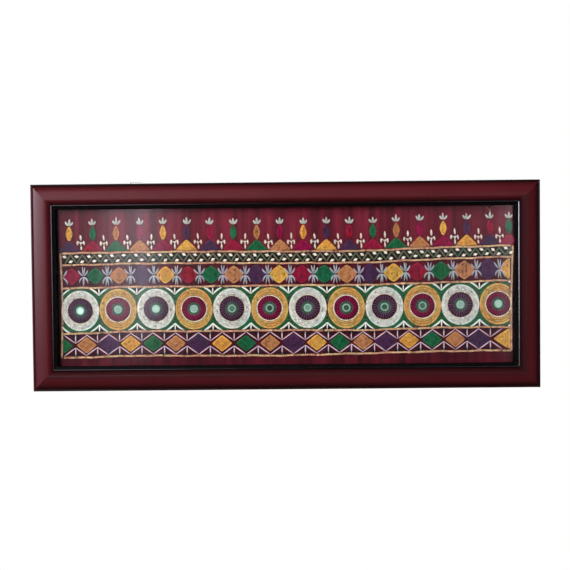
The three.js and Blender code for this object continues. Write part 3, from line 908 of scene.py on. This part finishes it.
def fill_upright(dye, outline, limit):
    """A motif edged with one round of chain stitch and filled with upright rows, over a pad."""
    outline, middle = padded(dye, outline, limit)
    half = (outline.max(axis=0) - outline.min(axis=0)) / 2
    chain(dye, middle + (outline - middle) * (1 - ROW_PITCH / 2 / half), closed=True, tone=EDGE_HIGHLIGHT_TONE)
    inner = middle + (outline - middle) * (1 - ROW_PITCH / half)
    left, right = inner[:, 0].min(), inner[:, 0].max()
    rows = max(1, round((right - left) / ROW_PITCH))
    upper = inner[inner[:, 1] >= middle[1]]
    lower = inner[inner[:, 1] <= middle[1]]
    upper = upper[np.lexsort([-upper[:, 1], upper[:, 0]])]
    lower = lower[np.lexsort([lower[:, 1], lower[:, 0]])]
    for x in left + (np.arange(rows) + 0.5) * (right - left) / rows:
        top = np.interp(x, upper[:, 0], upper[:, 1])
        foot = np.interp(x, lower[:, 0], lower[:, 1])
        if top - foot > LINK:
            chain(dye, np.array([[x, foot], [x, top]]), tone=dice.normal(0, ROW_TONE))


# Chart of the embroidery


def along(stations, share):
    """The value at a share (0 to 1) of the way along even stations."""
    return np.interp(share, np.linspace(0, 1, len(stations)), stations)


def line_height(line, x):
    return along(LINES[line], (np.asarray(x) + LINE_REACH) / (2 * LINE_REACH))


def line_edge(line, x, direction):
    """Height of a line's upper edge (+1) or lower edge (-1)."""
    return line_height(line, x) + direction * LINE_HALF


def midway(upper, lower, x):
    """Height midway between two lines."""
    return (line_height(upper, x) + line_height(lower, x)) / 2


def row_places(row):
    even = along(ROWS[row]["stations"], np.linspace(0, 1, ROWS[row]["count"]))
    return np.append(even, ROWS[row].get("crowded", []))


def midpoints(places):
    return (places[1:] + places[:-1]) / 2


def ellipse(x, z, wide, high, count=LOOP_POINTS):
    turn = np.linspace(0, 2 * math.pi, count, endpoint=False)
    return np.column_stack([x + wide * np.cos(turn), z + high * np.sin(turn)])


def circle(x, z, radius, count=LOOP_POINTS):
    return ellipse(x, z, radius, radius, count)


def mound_outline(x, foot):
    half = MOUND["width"] / 2
    shoulder = half * MOUND["shoulder_out"]
    shoulder_z = foot + MOUND["height"] * MOUND["shoulder_up"]
    apex = (x, foot + MOUND["height"])
    base = np.column_stack([np.linspace(x - half, x + half, FOOT_POINTS), np.full(FOOT_POINTS, foot)])
    right = quadratic((x + half, foot), (x + shoulder, shoulder_z), apex, CURVE_STEPS)
    left = quadratic(apex, (x - shoulder, shoulder_z), (x - half, foot), CURVE_STEPS)
    return np.vstack([base, right, left[:-1]])


def stem_outline(x, foot):
    """A spindle with a blunt foot, a swollen belly and a narrow neck."""
    half, foot_half, neck_half = (STEM[size] / 2 for size in ("width", "foot", "neck"))
    swell, belly, taper = (STEM["height"] * STEM[up] for up in ("swell_up", "belly_up", "taper_up"))
    right = np.vstack([
        [(foot_half, 0)],
        quadratic((foot_half, 0), (half, swell), (half, belly), STEM_STEPS),
        quadratic((half, belly), (half, taper), (neck_half, STEM["height"]), STEM_STEPS),
    ])
    left = right[::-1] * (-1, 1)
    return np.vstack([left[-1:], right, left[:-1]]) + (x, foot)


def diamond_outline(x, z, width, height, bulge):
    half = width / 2
    rise = height / 2
    out = width * bulge
    up = height * bulge
    corners = [(x + half, z), (x, z + rise), (x - half, z), (x, z - rise)]
    swells = [(x + out, z + up), (x - out, z + up), (x - out, z - up), (x + out, z - up)]
    sides = [quadratic(corners[i], swells[i], corners[(i + 1) % 4], CURVE_STEPS) for i in range(4)]
    return np.vstack(sides)


def diamonds(row, size, dyes, upper_line, lower_line):
    """Dye and outline of each diamond of a row that lies midway between two lines."""
    places = row_places(row)
    for number, x in enumerate(places):
        dye = dyes[number % len(dyes)]
        z = midway(upper_line, lower_line, x)
        scale = DIAMOND_SCALE.get(dye, 1) * along(size["growth"], number / (len(places) - 1))
        width = size["width"] * scale
        height = size["height"] * scale
        if (row, number) in CUT_DIAMONDS:
            cut = CUT_DIAMONDS[row, number]
            x = math.copysign(FIELD, x)
            width *= cut["wide"]
            height *= cut["tall"]
        yield dye, diamond_outline(x, z, width, height, size["bulge"])


def sew_lines():
    """Five tan cords across the cloth and the two upright borders."""
    for name in LINES:
        x = np.linspace(BORDERS["left"][1], BORDERS["right"][1], LINE_POINTS)
        wander = SWAY["slow"] * np.sin(x / SWAY["slow_length"] + len(name))
        wander += SWAY["quick"] * np.sin(x / SWAY["quick_length"])
        chain("cord", np.column_stack([x, line_height(name, x) + wander]), lift=CORD_LIFT, **CORD)
    for side in BORDERS.values():
        end = math.copysign(LINE_REACH, side[0])
        z = np.linspace(line_height("mound_foot", end), line_height("lowest", end), BORDER_POINTS)
        x = along(side, np.linspace(0, 1, len(z)))
        chain("cord", np.column_stack([x, z]), lift=BORDER_LIFT, **CORD)
    for path in (STRAY_EDGE, STRAY_LOOP):
        chain("tan", np.array(path), **STRAY_STITCH)


def sew_stem_row():
    """Mounds on the top line, each with a stem and a white crown, and candelabra sprigs between."""
    places = row_places("mounds")
    limit = SHEET_WIDTH / 2 - 1
    for number, x in enumerate(places):
        foot = line_edge("mound_foot", x, 1) + STEM_GAP
        stem_foot = foot + MOUND["height"] + STEM_GAP
        dye = MOUND_DYES[number % len(MOUND_DYES)]
        stem_dye = MOUND_DYES[(number + 1) % len(MOUND_DYES)] if number else "gold"
        fill_arches(dye, mound_outline(x, foot), (x, foot), MOUND["height"], limit)
        fill_upright(stem_dye, stem_outline(x, stem_foot), limit)
        figure("white", CROWN, x, stem_foot + STEM["height"] + STEM_GAP, **CROWN_LAY)
    for x in midpoints(places):
        figure("blush", CANDELABRA, x, line_edge("mound_foot", x, 1), **CANDELABRA_LAY)


def sew_lozenge(middle, lean):
    """A white lozenge of straight stitches, tilted up or down to the right."""
    tilt = math.radians(lean * LOZENGE["tilt"] + dice.normal(0, UNEVEN["lozenge_tilt"]))
    long_way = np.array([math.cos(tilt), math.sin(tilt)])
    offset = np.linspace(-LOZENGE["span"], LOZENGE["span"], LOZENGE["strands"])[:, None]
    reach = (1 - np.abs(offset) * LOZENGE["taper"]) * LOZENGE["short"] / 2
    centre = middle + offset * long_way * LOZENGE["long"] / 2
    ends = sideways(long_way) * reach
    straight("blush", centre - ends, centre + ends, **LOZENGE_STITCH)


def sew_zigzag_band():
    """A dark band with a grey zigzag and two staggered rows of white lozenges."""
    x = np.arange(BORDERS["left"][0] + BAND_INSET, BORDERS["right"][0] - BAND_INSET, DARK_PITCH)
    top = np.column_stack([x, line_edge("mound_foot", x, -1)])
    foot = np.column_stack([x, line_edge("zigzag_foot", x, 1)])
    straight("bottle", top, foot, **BAND_STITCH)
    upper_places = np.linspace(LOZENGE["first"], LOZENGE["last"], LOZENGE["count"])
    turns = np.column_stack([upper_places, upper_places + LOZENGE["stagger"]]).ravel()
    corners = []
    for number, place in enumerate(turns):
        upper = number % 2 == 0
        top_z = line_edge("mound_foot", place, -1)
        foot_z = line_edge("zigzag_foot", place, 1)
        corners.append((place, foot_z + ZIGZAG["inset"] if upper else top_z - ZIGZAG["inset"]))
        z = top_z - LOZENGE["inset"] if upper else foot_z + LOZENGE["inset"]
        sew_lozenge(np.array([place, z]) + dice.normal(0, UNEVEN["lozenge"], 2), -1 if upper else 1)
    corners = np.array(corners)
    for side in (-1, 1):
        shift = side * ZIGZAG["gap"] * sideways(np.diff(corners, axis=0))
        straight("ash", corners[:-1] + shift, corners[1:] + shift, **ZIGZAG_STITCH)


def sew_upper_diamonds():
    """Rounded diamonds in five dyes with lilac sprigs between them."""
    lines = ("zigzag_foot", "roundel_top")
    for dye, outline in diamonds("upper_diamonds", UPPER_DIAMOND, UPPER_DYES, *lines):
        fill_upright(dye, outline, FIELD)
    places = row_places("upper_diamonds")
    for x in midpoints(places):
        figure("lilac", SPRIG, x, midway(*lines, x), **SPRIG_LAY)
    first_gap = places[0] - (places[1] - places[0]) / 2
    figure("lilac", CUT_SPRIG, first_gap + CUT_SPRIG_SHIFT, midway(*lines, first_gap), **SPRIG_LAY)


def fork(x, edge, direction, shape):
    """Two arms that slope from a line to a point, and a spike between; direction is +1 up or -1 down."""
    dye, lift = shape["dye"], shape["lift"]
    start = edge + direction * shape["start"]
    tip = np.array([x, edge + direction * shape["depth"]])
    for side in (-1, 1):
        outer = np.array([x + side * shape["reach"], start])
        if abs(outer[0]) < FIELD:
            kept = 1 if abs(x) < FIELD else (FIELD - abs(outer[0])) / (abs(x) - abs(outer[0]))
            bend = side * direction * shape["bend"] * kept
            petal(dye, outer, outer + (tip - outer) * kept, shape["width"], bend, lift)
    if abs(x) < FIELD:
        petal(dye, (x, start), (x, start + direction * shape["spike"]), shape["spike_width"], lift=lift)


def dark_corner(x, edge, direction, shape):
    """Dark stitches in the corner between a line and a fork's arms."""
    reach = shape["dark_reach"]
    offset = np.arange(-reach, reach + DARK_SLACK, DARK_PITCH)
    offset = offset[np.abs(x + offset) < FIELD]
    length = shape["dark_depth"] * (1 - np.abs(offset) / (reach + DARK_PITCH))
    starts = np.column_stack([x + offset, np.full(len(offset), edge)])
    ends = np.column_stack([x + offset, edge + direction * length])
    straight("dark", starts, ends, **CORNER_STITCH)


def sew_forks(places, upper, lower, shape):
    """Forks over dark corners, down from an upper line and up from a lower one."""
    for x in places:
        for line, direction in ((upper, -1), (lower, 1)):
            edge = line_edge(line, x, direction)
            dark_corner(x, edge, direction, shape)
            fork(x, edge, direction, shape)


def runs(mask):
    """Index ranges where a mask stays true."""
    edges = np.flatnonzero(np.diff(np.concatenate([[0], mask.astype(int), [0]])))
    return list(zip(edges[::2], edges[1::2]))


def sew_roundel(x, z, kind, half_gap, top, foot):
    """One roundel: a stitched ring, green arcs outside it, a collar of spokes and the mirror's bindings."""
    outer = ellipse(x, z, kind["wide"], kind["high"])
    inner = circle(x, z, kind["inside"])
    pad(kind["ring"], kept_inside(outer, FIELD), kept_inside(inner, FIELD), RING_PAD, hollow=True)
    rows = round((kind["wide"] - kind["inside"]) / ROW_PITCH)
    for row in range(rows):
        loop = outer + (inner - outer) * (row + 0.5) / rows
        dye = kind["innermost"] if row == rows - 1 else kind["ring"]
        sew_arc(dye, loop, np.abs(loop[:, 0]) < FIELD, tone=EDGE_HIGHLIGHT_TONE if row == 0 else 0.0)
    for gap in GREEN_ARCS:
        loop = ellipse(x, z, kind["wide"] + gap, kind["high"] + gap, ARC_POINTS)
        keep = np.minimum(top - loop[:, 1], loop[:, 1] - foot) > ARC_CLEARANCE
        keep &= np.abs(loop[:, 0] - x) < half_gap
        keep &= np.abs(loop[:, 0]) < FIELD
        sew_arc("green", loop, keep, tone=EDGE_HIGHLIGHT_TONE)
    if kind["ring"] == TRIM["around"]:
        loop = circle(x, z, TRIM["radius"])
        chain("blush", loop, True, TRIM["width"], TRIM["strand"], lift=TRIM["lift"], tone=EDGE_HIGHLIGHT_TONE)
    sew_collar(x, z, kind)


def sew_collar(x, z, kind):
    """Spokes round the mirror, light and dark by turns, with mossy rounds and mint stitches over its rim."""

    def rings(shape, count):
        return [circle(x, z, shape[edge], count) for edge in ("outside", "inside")]

    outer, inner = rings(COLLAR, COLLAR["spokes"])
    short = outer + (inner - outer) * COLLAR["dark_inset"] / (COLLAR["outside"] - COLLAR["inside"])
    straight(kind["spoke"], outer[::2], inner[::2], **SPOKE)
    straight(kind["collar"], short[1::2], inner[1::2], **GROOVE)
    for radius in MOSS_RINGS:
        chain("moss", circle(x, z, radius), closed=True, **MOSS)
    straight("mint", *rings(MINT, MINT["stitches"]), **MINT_STITCH)


def sew_arc(dye, loop, keep, tone=0.0):
    """Chain stitch along a closed loop, only where it is kept."""
    if keep.all():
        chain(dye, loop, closed=True, tone=tone)
        return
    first = int(np.argmin(keep))
    loop = np.roll(loop, -first, axis=0)
    keep = np.roll(keep, -first)
    for start, end in runs(keep):
        if end - start > SHORTEST_ARC:
            chain(dye, loop[start:end], tone=tone)


def sew_roundel_row():
    """Twelve roundels of two kinds by turns, with white forks and dark corners between them."""
    places = row_places("roundels")
    half_gap = float(np.diff(places).mean()) / 2
    for number, x in enumerate(places):
        top = line_edge("roundel_top", x, -1)
        foot = line_edge("roundel_foot", x, 1)
        sew_roundel(x, (top + foot) / 2, ROUNDELS[number % 2], half_gap, top, foot)
    gaps = np.concatenate([[places[0] - half_gap], midpoints(places), [places[-1] + half_gap]])
    sew_forks(gaps, "roundel_top", "roundel_foot", WHITE_FORK)


def sew_lower_diamonds():
    """Diamonds in four dyes under a lilac lattice with dark corners."""
    lines = ("roundel_foot", "lowest")
    for dye, outline in diamonds("lower_diamonds", LOWER_DIAMOND, LOWER_DYES, *lines):
        fill_round(dye, outline, FIELD)
    sew_forks(midpoints(row_places("lower_diamonds")), *lines, LATTICE_FORK)


# The cloth and what is sewn on it


def make_ground():
    """The maroon satin sheet: its face puckers a little in upright folds, and its back is flat."""
    columns, rows = GROUND["columns"], GROUND["rows"]
    x = np.linspace(-SHEET_WIDTH / 2, SHEET_WIDTH / 2, columns)
    z = np.linspace(CLOTH_LOW.z, CLOTH_HIGH.z, rows)
    grid_x, grid_z = (grid.ravel() for grid in np.meshgrid(x, z))
    sway = FOLDS["sway"] * np.sin(grid_z / FOLDS["sway_length"])
    pucker = FOLDS["depth"] * np.sin(grid_x / FOLDS["length"] + sway)
    pucker += RIPPLES["depth"] * np.sin(grid_x / RIPPLES["length"] + grid_z / RIPPLES["slant"])
    number = np.arange(columns * rows).reshape(rows, columns)
    rim = np.concatenate([number[0, :-1], number[:-1, -1], number[-1, :0:-1], number[:0:-1, 0]])
    back_rim = columns * rows + np.arange(len(rim))
    edge = [rim, back_rim, np.roll(back_rim, -1), np.roll(rim, -1)]
    faces = grid_quads(number) + np.stack(edge, axis=1).tolist() + [back_rim[::-1].tolist()]
    front = to_world(grid_x, grid_z, CLOTH_FACE - GROUND["dip"] + pucker)
    back = to_world(grid_x[rim], grid_z[rim], np.full(len(rim), CLOTH_BACK))
    verts = np.concatenate([front, back])
    ground = make_piece("satin_ground", verts, faces, [satin_material()], ["embroidered_cloth"])
    ground.data.set_sharp_from_angle(angle=math.radians(GROUND["crease"]))
    return ground


def make_mirrors():
    """Twelve small mirrors with softened edges, each as bright as its painted reflection."""
    material = mirror_material()
    radius, bevel, sides, foot = (MIRROR[size] for size in ("radius", "bevel", "sides", "height"))
    top = foot + MIRROR["thickness"]
    rings = [
        (radius - bevel, foot),
        (radius, foot + bevel),
        (radius, top - bevel),
        (radius - bevel, top - 0.05),
        (radius * 0.6, top - 0.01),
        (radius * 0.2, top),
    ]
    faces = tube(len(rings), sides)
    for number, x in enumerate(row_places("roundels")):
        z = midway("roundel_top", "roundel_foot", x)
        points = np.vstack([raised(circle(x, z, reach, sides), height) for reach, height in rings])
        label = f"{number + 1:02d}"
        name = "mirror_glass_" + label
        replaced = ["mirror_" + label]
        piece = make_piece(name, on_cloth(points), faces, [material], replaced)
        set_point_values(piece, "painted_reflection", np.full(len(points), PAINTED_MIRROR_BRIGHTNESS[number]))


def make_embroidery():
    """The ground with all its stitching."""
    sew_lines()
    sew_stem_row()
    sew_zigzag_band()
    sew_upper_diamonds()
    sew_roundel_row()
    sew_lower_diamonds()
    ground = make_ground()
    sewn = [stitches.build() for stitches in threads.values()]


# The frame


def moulding_section():
    """Points of the section in order, inward and forward, and how many of them are lacquered."""
    bead_middle = OUTER_BEAD["width"] / 2
    inner_middle = INNER_BEAD["start"] + INNER_BEAD["width"] / 2
    inner_end = INNER_BEAD["start"] + INNER_BEAD["width"]
    points = [np.array([[0, 0], [0, OUTER_BEAD["side"]]], float)]

    def curve(control, end):
        points.append(quadratic(points[-1][-1], control, end, SECTION_STEPS))

    def line(*end):
        points.append(np.array([end], float))

    curve((0, OUTER_BEAD["top"]), (bead_middle, OUTER_BEAD["top"]))
    curve((OUTER_BEAD["width"], OUTER_BEAD["top"]), (OUTER_BEAD["width"], OUTER_BEAD["valley"]))
    curve((DOME["rise_at"], DOME["crest"]), (DOME["crest_at"], DOME["crest"]))
    curve((DOME["fall_at"], DOME["crest"]), (DOME["end"], DOME["end_height"]))
    line(INNER_BEAD["start"], INNER_BEAD["foot"])
    curve((INNER_BEAD["start"], INNER_BEAD["top"]), (inner_middle, INNER_BEAD["top"]))
    curve((inner_end, INNER_BEAD["top"]), (inner_end, INNER_BEAD["foot"]))
    line(LIP["edge"], LIP["height"])
    curve((MOULDING_WIDTH, LIP["height"]), (MOULDING_WIDTH, LIP["nose"]))
    line(MOULDING_WIDTH, REBATE_DEPTH)
    lacquered = sum(len(part) for part in points)
    line(REBATE_WALL, REBATE_DEPTH)
    line(REBATE_WALL, 0)
    return np.concatenate(points), lacquered


def make_rail(name, turn, length, materials):
    """One mitred length of moulding, at its angle round the panel."""
    section, lacquered = moulding_section()
    count = len(section)
    inward = np.tile(section[:, 0], RAIL_STATIONS)
    forward = np.tile(section[:, 1], RAIL_STATIONS)
    share = np.repeat(np.linspace(-1, 1, RAIL_STATIONS), count)
    run = share * (length / 2 - inward - MITRE_PULL_BACK)
    world_x = run * math.cos(turn) - (FRAME_WIDTH / 2 - inward) * math.sin(turn)
    world_z = run * math.sin(turn) + (FRAME_HEIGHT / 2 - inward) * math.cos(turn)
    verts = to_world(world_x, world_z, forward)
    faces = tube(RAIL_STATIONS, count)
    piece = make_piece(name + "_moulding", verts, faces, materials, [name])
    set_point_values(piece, "inward", inward)
    across = (section[:, 0] + np.roll(section[:, 0], -1)) / 2
    bead_end = INNER_BEAD["start"] + INNER_BEAD["width"]
    finish = np.where((across > INNER_BEAD["start"]) & (across < bead_end), BEAD, LACQUER)
    finish[across > bead_end] = DULL
    finish[(across > SHOULDER_START) & (across < INNER_BEAD["start"])] = SHOULDER
    finish[lacquered - 1:] = BARE
    slots = np.concatenate([np.tile(finish, RAIL_STATIONS - 1), [BARE, BARE]]).astype(np.int32)
    piece.data.polygons.foreach_set("material_index", slots)
    piece.data.set_sharp_from_angle(angle=math.radians(RAIL_CREASE))


def make_frame():
    """The four rails, with the finishes of each in the order of their places in the list of materials."""
    coats = {name: lacquer_material(name) for name in LACQUERS}
    coats.update({name: bead_material(name) for name in BEAD_GREYS})
    wood = bare_wood_material()
    lip = lip_material()
    for number, (name, finishes) in enumerate(RAILS.items()):
        face, bead, shoulder = (coats[finish] for finish in finishes)
        length = FRAME_HEIGHT if number % 2 else FRAME_WIDTH
        make_rail(name, number * math.pi / 2, length, [face, bead, wood, lip, shoulder])


def finish_solids():
    """Materials of the solids that stay as they are."""
    steel = steel_material()
    finishes = {"glass": glass_material(), "backing_board": hardboard_material()}
    for side in ("left", "right"):
        for part in ("strap_", "ring_", "screw_"):
            finishes[part + side] = steel
    for node, material in finishes.items():
        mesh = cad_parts[node].data
        mesh.materials.clear()
        mesh.materials.append(material)


# Studio

# A softly lit wall behind the camera and to the left, seen only in reflections: an arc about the panel, in
# metres, with the heights of its rows of points
WALL = {"radius": 1.9, "heights": [-0.6, -0.34, -0.08, 0.25, 0.6, 0.8, 2.6]}
# Glow of the wall at bearings from straight ahead, in degrees with right positive: low, at eye level and
# overhead; its foot is dark
WALL_GLOW = [
    (-110, 0.6, 2.75, 0),
    (-88, 0.7, 3.4, 0),
    (-60, 0.82, 4.1, 0.4),
    (-40, 0.78, 3.1, 0.8),
    (-30, 0.6, 1.6, 0.8),
    (-26, 0.27, 0.27, 0.8),
    (-20.5, 0.44, 0.44, 0.4),
    (-19.5, 1.2, 1.2, 0.3),
    (-17, 1.3, 1.3, 0.06),
    (-16, 1.85, 1.85, 0.06),
    (-15, 1.2, 1.2, 0.06),
    (-13, 0.44, 0.44, 0.06),
    (-10, 0.1, 0.1, 0.06),
    (-3, 0.04, 0.04, 0.06),
    (0, 0, 0, 0.06),
    (7, 0, 0, 0.06),
    (16, 0.12, 0.12, 0.06),
    (22, 0.3, 0.3, 0.06),
    (24, 0.96, 0.96, 0.06),
    (27, 0.3, 0.3, 0.06),
]
# Lights that look at the middle of the panel: place in metres, size, watts, and whether reflections show them
LIGHTS = {
    "window": {"place": (-0.72, -1.1, 0.95), "size": (1.8, 1.4), "watts": 56, "mirrored": False},
    "front": {"place": (0.1, -1.5, 0.15), "size": (1.2, 0.8), "watts": 11, "mirrored": False},
    "rear": {"place": (0.7, 1.5, 0.9), "size": (1.2, 1.0), "watts": 18, "mirrored": True},
}
# Light of the surround on surfaces, in reflections and to the eye
SURROUND = {"surfaces": 0.3, "reflections": 0.022, "eye": 1.0}
# The round floor, in metres
FLOOR = {"radius": 0.9, "height": -0.75, "sides": 96, "rings": 6}
# The photograph's view: angles in degrees, lens and sensor in millimetres, the rest in metres
CAMERA = {"azimuth": 0.43, "elevation": 1.28, "roll": -0.567, "distance": 0.9498, "lens": 49.2, "sensor": 36}
CAMERA_TARGET = Vector((-0.0005, -0.0129, 0.0012))


def aim(thing, target, roll=0.0):
    """Turns a light or camera to look at a target."""
    look = (Vector(target) - thing.location).to_track_quat("-Z", "Y")
    thing.rotation_mode = "QUATERNION"
    thing.rotation_quaternion = look @ Quaternion((0, 0, 1), roll)


def soft_light(name, place, size, watts, mirrored):
    lamp = bpy.data.lights.new(name, "AREA")
    lamp.shape = "RECTANGLE"
    lamp.size, lamp.size_y = size
    lamp.energy = watts
    light = add_to_scene(name, lamp)
    light.location = place
    light.visible_camera = False
    light.visible_glossy = mirrored
    aim(light, (0, 0, 0))


def make_world():
    """A white surround for the eye, a dim even light for surfaces and near darkness for reflections."""
    world = bpy.data.worlds.new("studio")
    bpy.context.scene.world = world
    world.use_nodes = True
    tree = world.node_tree
    tree.nodes.clear()
    path = tree.nodes.new("ShaderNodeLightPath")

    def background(grey):
        made = tree.nodes.new("ShaderNodeBackground")
        made.inputs["Color"].default_value = (grey, grey, grey, 1)
        return made.outputs[0]

    light = background(SURROUND["surfaces"])
    for rays, seen_by in (("Is Glossy Ray", "reflections"), ("Is Camera Ray", "eye")):
        mix = tree.nodes.new("ShaderNodeMixShader")
        tree.links.new(path.outputs[rays], mix.inputs["Fac"])
        tree.links.new(light, mix.inputs[1])
        tree.links.new(background(SURROUND[seen_by]), mix.inputs[2])
        light = mix.outputs[0]
    output = tree.nodes.new("ShaderNodeOutputWorld")
    tree.links.new(light, output.inputs["Surface"])


def make_floor():
    """A round pale floor well below the hanging panel."""
    sides = FLOOR["sides"]
    verts = [(0, 0, FLOOR["height"])]
    faces = [[0, 1 + side, 1 + (side + 1) % sides] for side in range(sides)]
    for ring in range(FLOOR["rings"]):
        reach = FLOOR["radius"] * (ring + 1) / FLOOR["rings"]
        if ring:
            faces += [face[::-1] for face in bridge(len(verts) - sides, len(verts), sides)]
        verts += raised(circle(0, 0, reach, sides), FLOOR["height"]).tolist()
    floor = make_object("floor", verts, faces, [floor_material()])
    floor.visible_glossy = False
    floor.visible_diffuse = False
    floor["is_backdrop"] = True


def wall_material():
    """A pale glow as strong as the wall's own value says."""
    shader = Shader("lit_wall")
    light = shader.add("Emission", Color=(1, 1, 1.14, 1))
    shader.link(shader.attribute("glow"), light.inputs["Strength"])
    shader.replace_surface(light.outputs[0])
    return shader.material


def make_wall():
    """The arc of lit wall that the glass and the lacquer mirror."""
    bearings, low, eye_level, overhead = np.array(WALL_GLOW, float).T
    dark = np.zeros_like(bearings)
    row_glows = [dark, dark, low, eye_level, eye_level, overhead, overhead]
    columns = np.arange(bearings[0], bearings[-1] + 1)
    glows = np.column_stack([np.interp(columns, bearings, glow) for glow in row_glows])
    verts = []
    for bearing in np.radians(columns):
        x = WALL["radius"] * math.sin(bearing)
        y = -WALL["radius"] * math.cos(bearing)
        verts += [(x, y, height) for height in WALL["heights"]]
    faces = grid_quads(np.arange(len(verts)).reshape(glows.shape))
    wall = make_object("lit_wall", verts, faces, [wall_material()])
    set_point_values(wall, "glow", glows.ravel())
    wall.visible_camera = False
    wall.visible_diffuse = False
    wall.visible_shadow = False
    wall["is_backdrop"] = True


def make_studio():
    """Window light from the upper left, a weak front light and a wall that shows only in reflections."""
    make_world()
    make_floor()
    make_wall()
    for name, light in LIGHTS.items():
        soft_light(name, **light)


def make_camera():
    """The photograph's view: nearly square on, a little from above and the right, and slightly rolled."""
    azimuth, elevation, roll = (math.radians(CAMERA[angle]) for angle in ("azimuth", "elevation", "roll"))
    away = Vector((
        math.sin(azimuth) * math.cos(elevation),
        -math.cos(azimuth) * math.cos(elevation),
        math.sin(elevation),
    ))
    data = bpy.data.cameras.new("camera")
    data.lens = CAMERA["lens"]
    data.sensor_width = CAMERA["sensor"]
    camera = add_to_scene("camera", data)
    camera.location = CAMERA_TARGET + away * CAMERA["distance"]
    aim(camera, CAMERA_TARGET, roll)
    bpy.context.scene.camera = camera
    bpy.context.scene.view_settings.view_transform = "Standard"


make_camera()
make_studio()
make_frame()
make_embroidery()
make_mirrors()
finish_solids()

bpy.context.view_layer.update()
boxes = {"cad": CAD_BOX, "visual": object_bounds()}
{name: [list(corner) for corner in box] for name, box in boxes.items()}
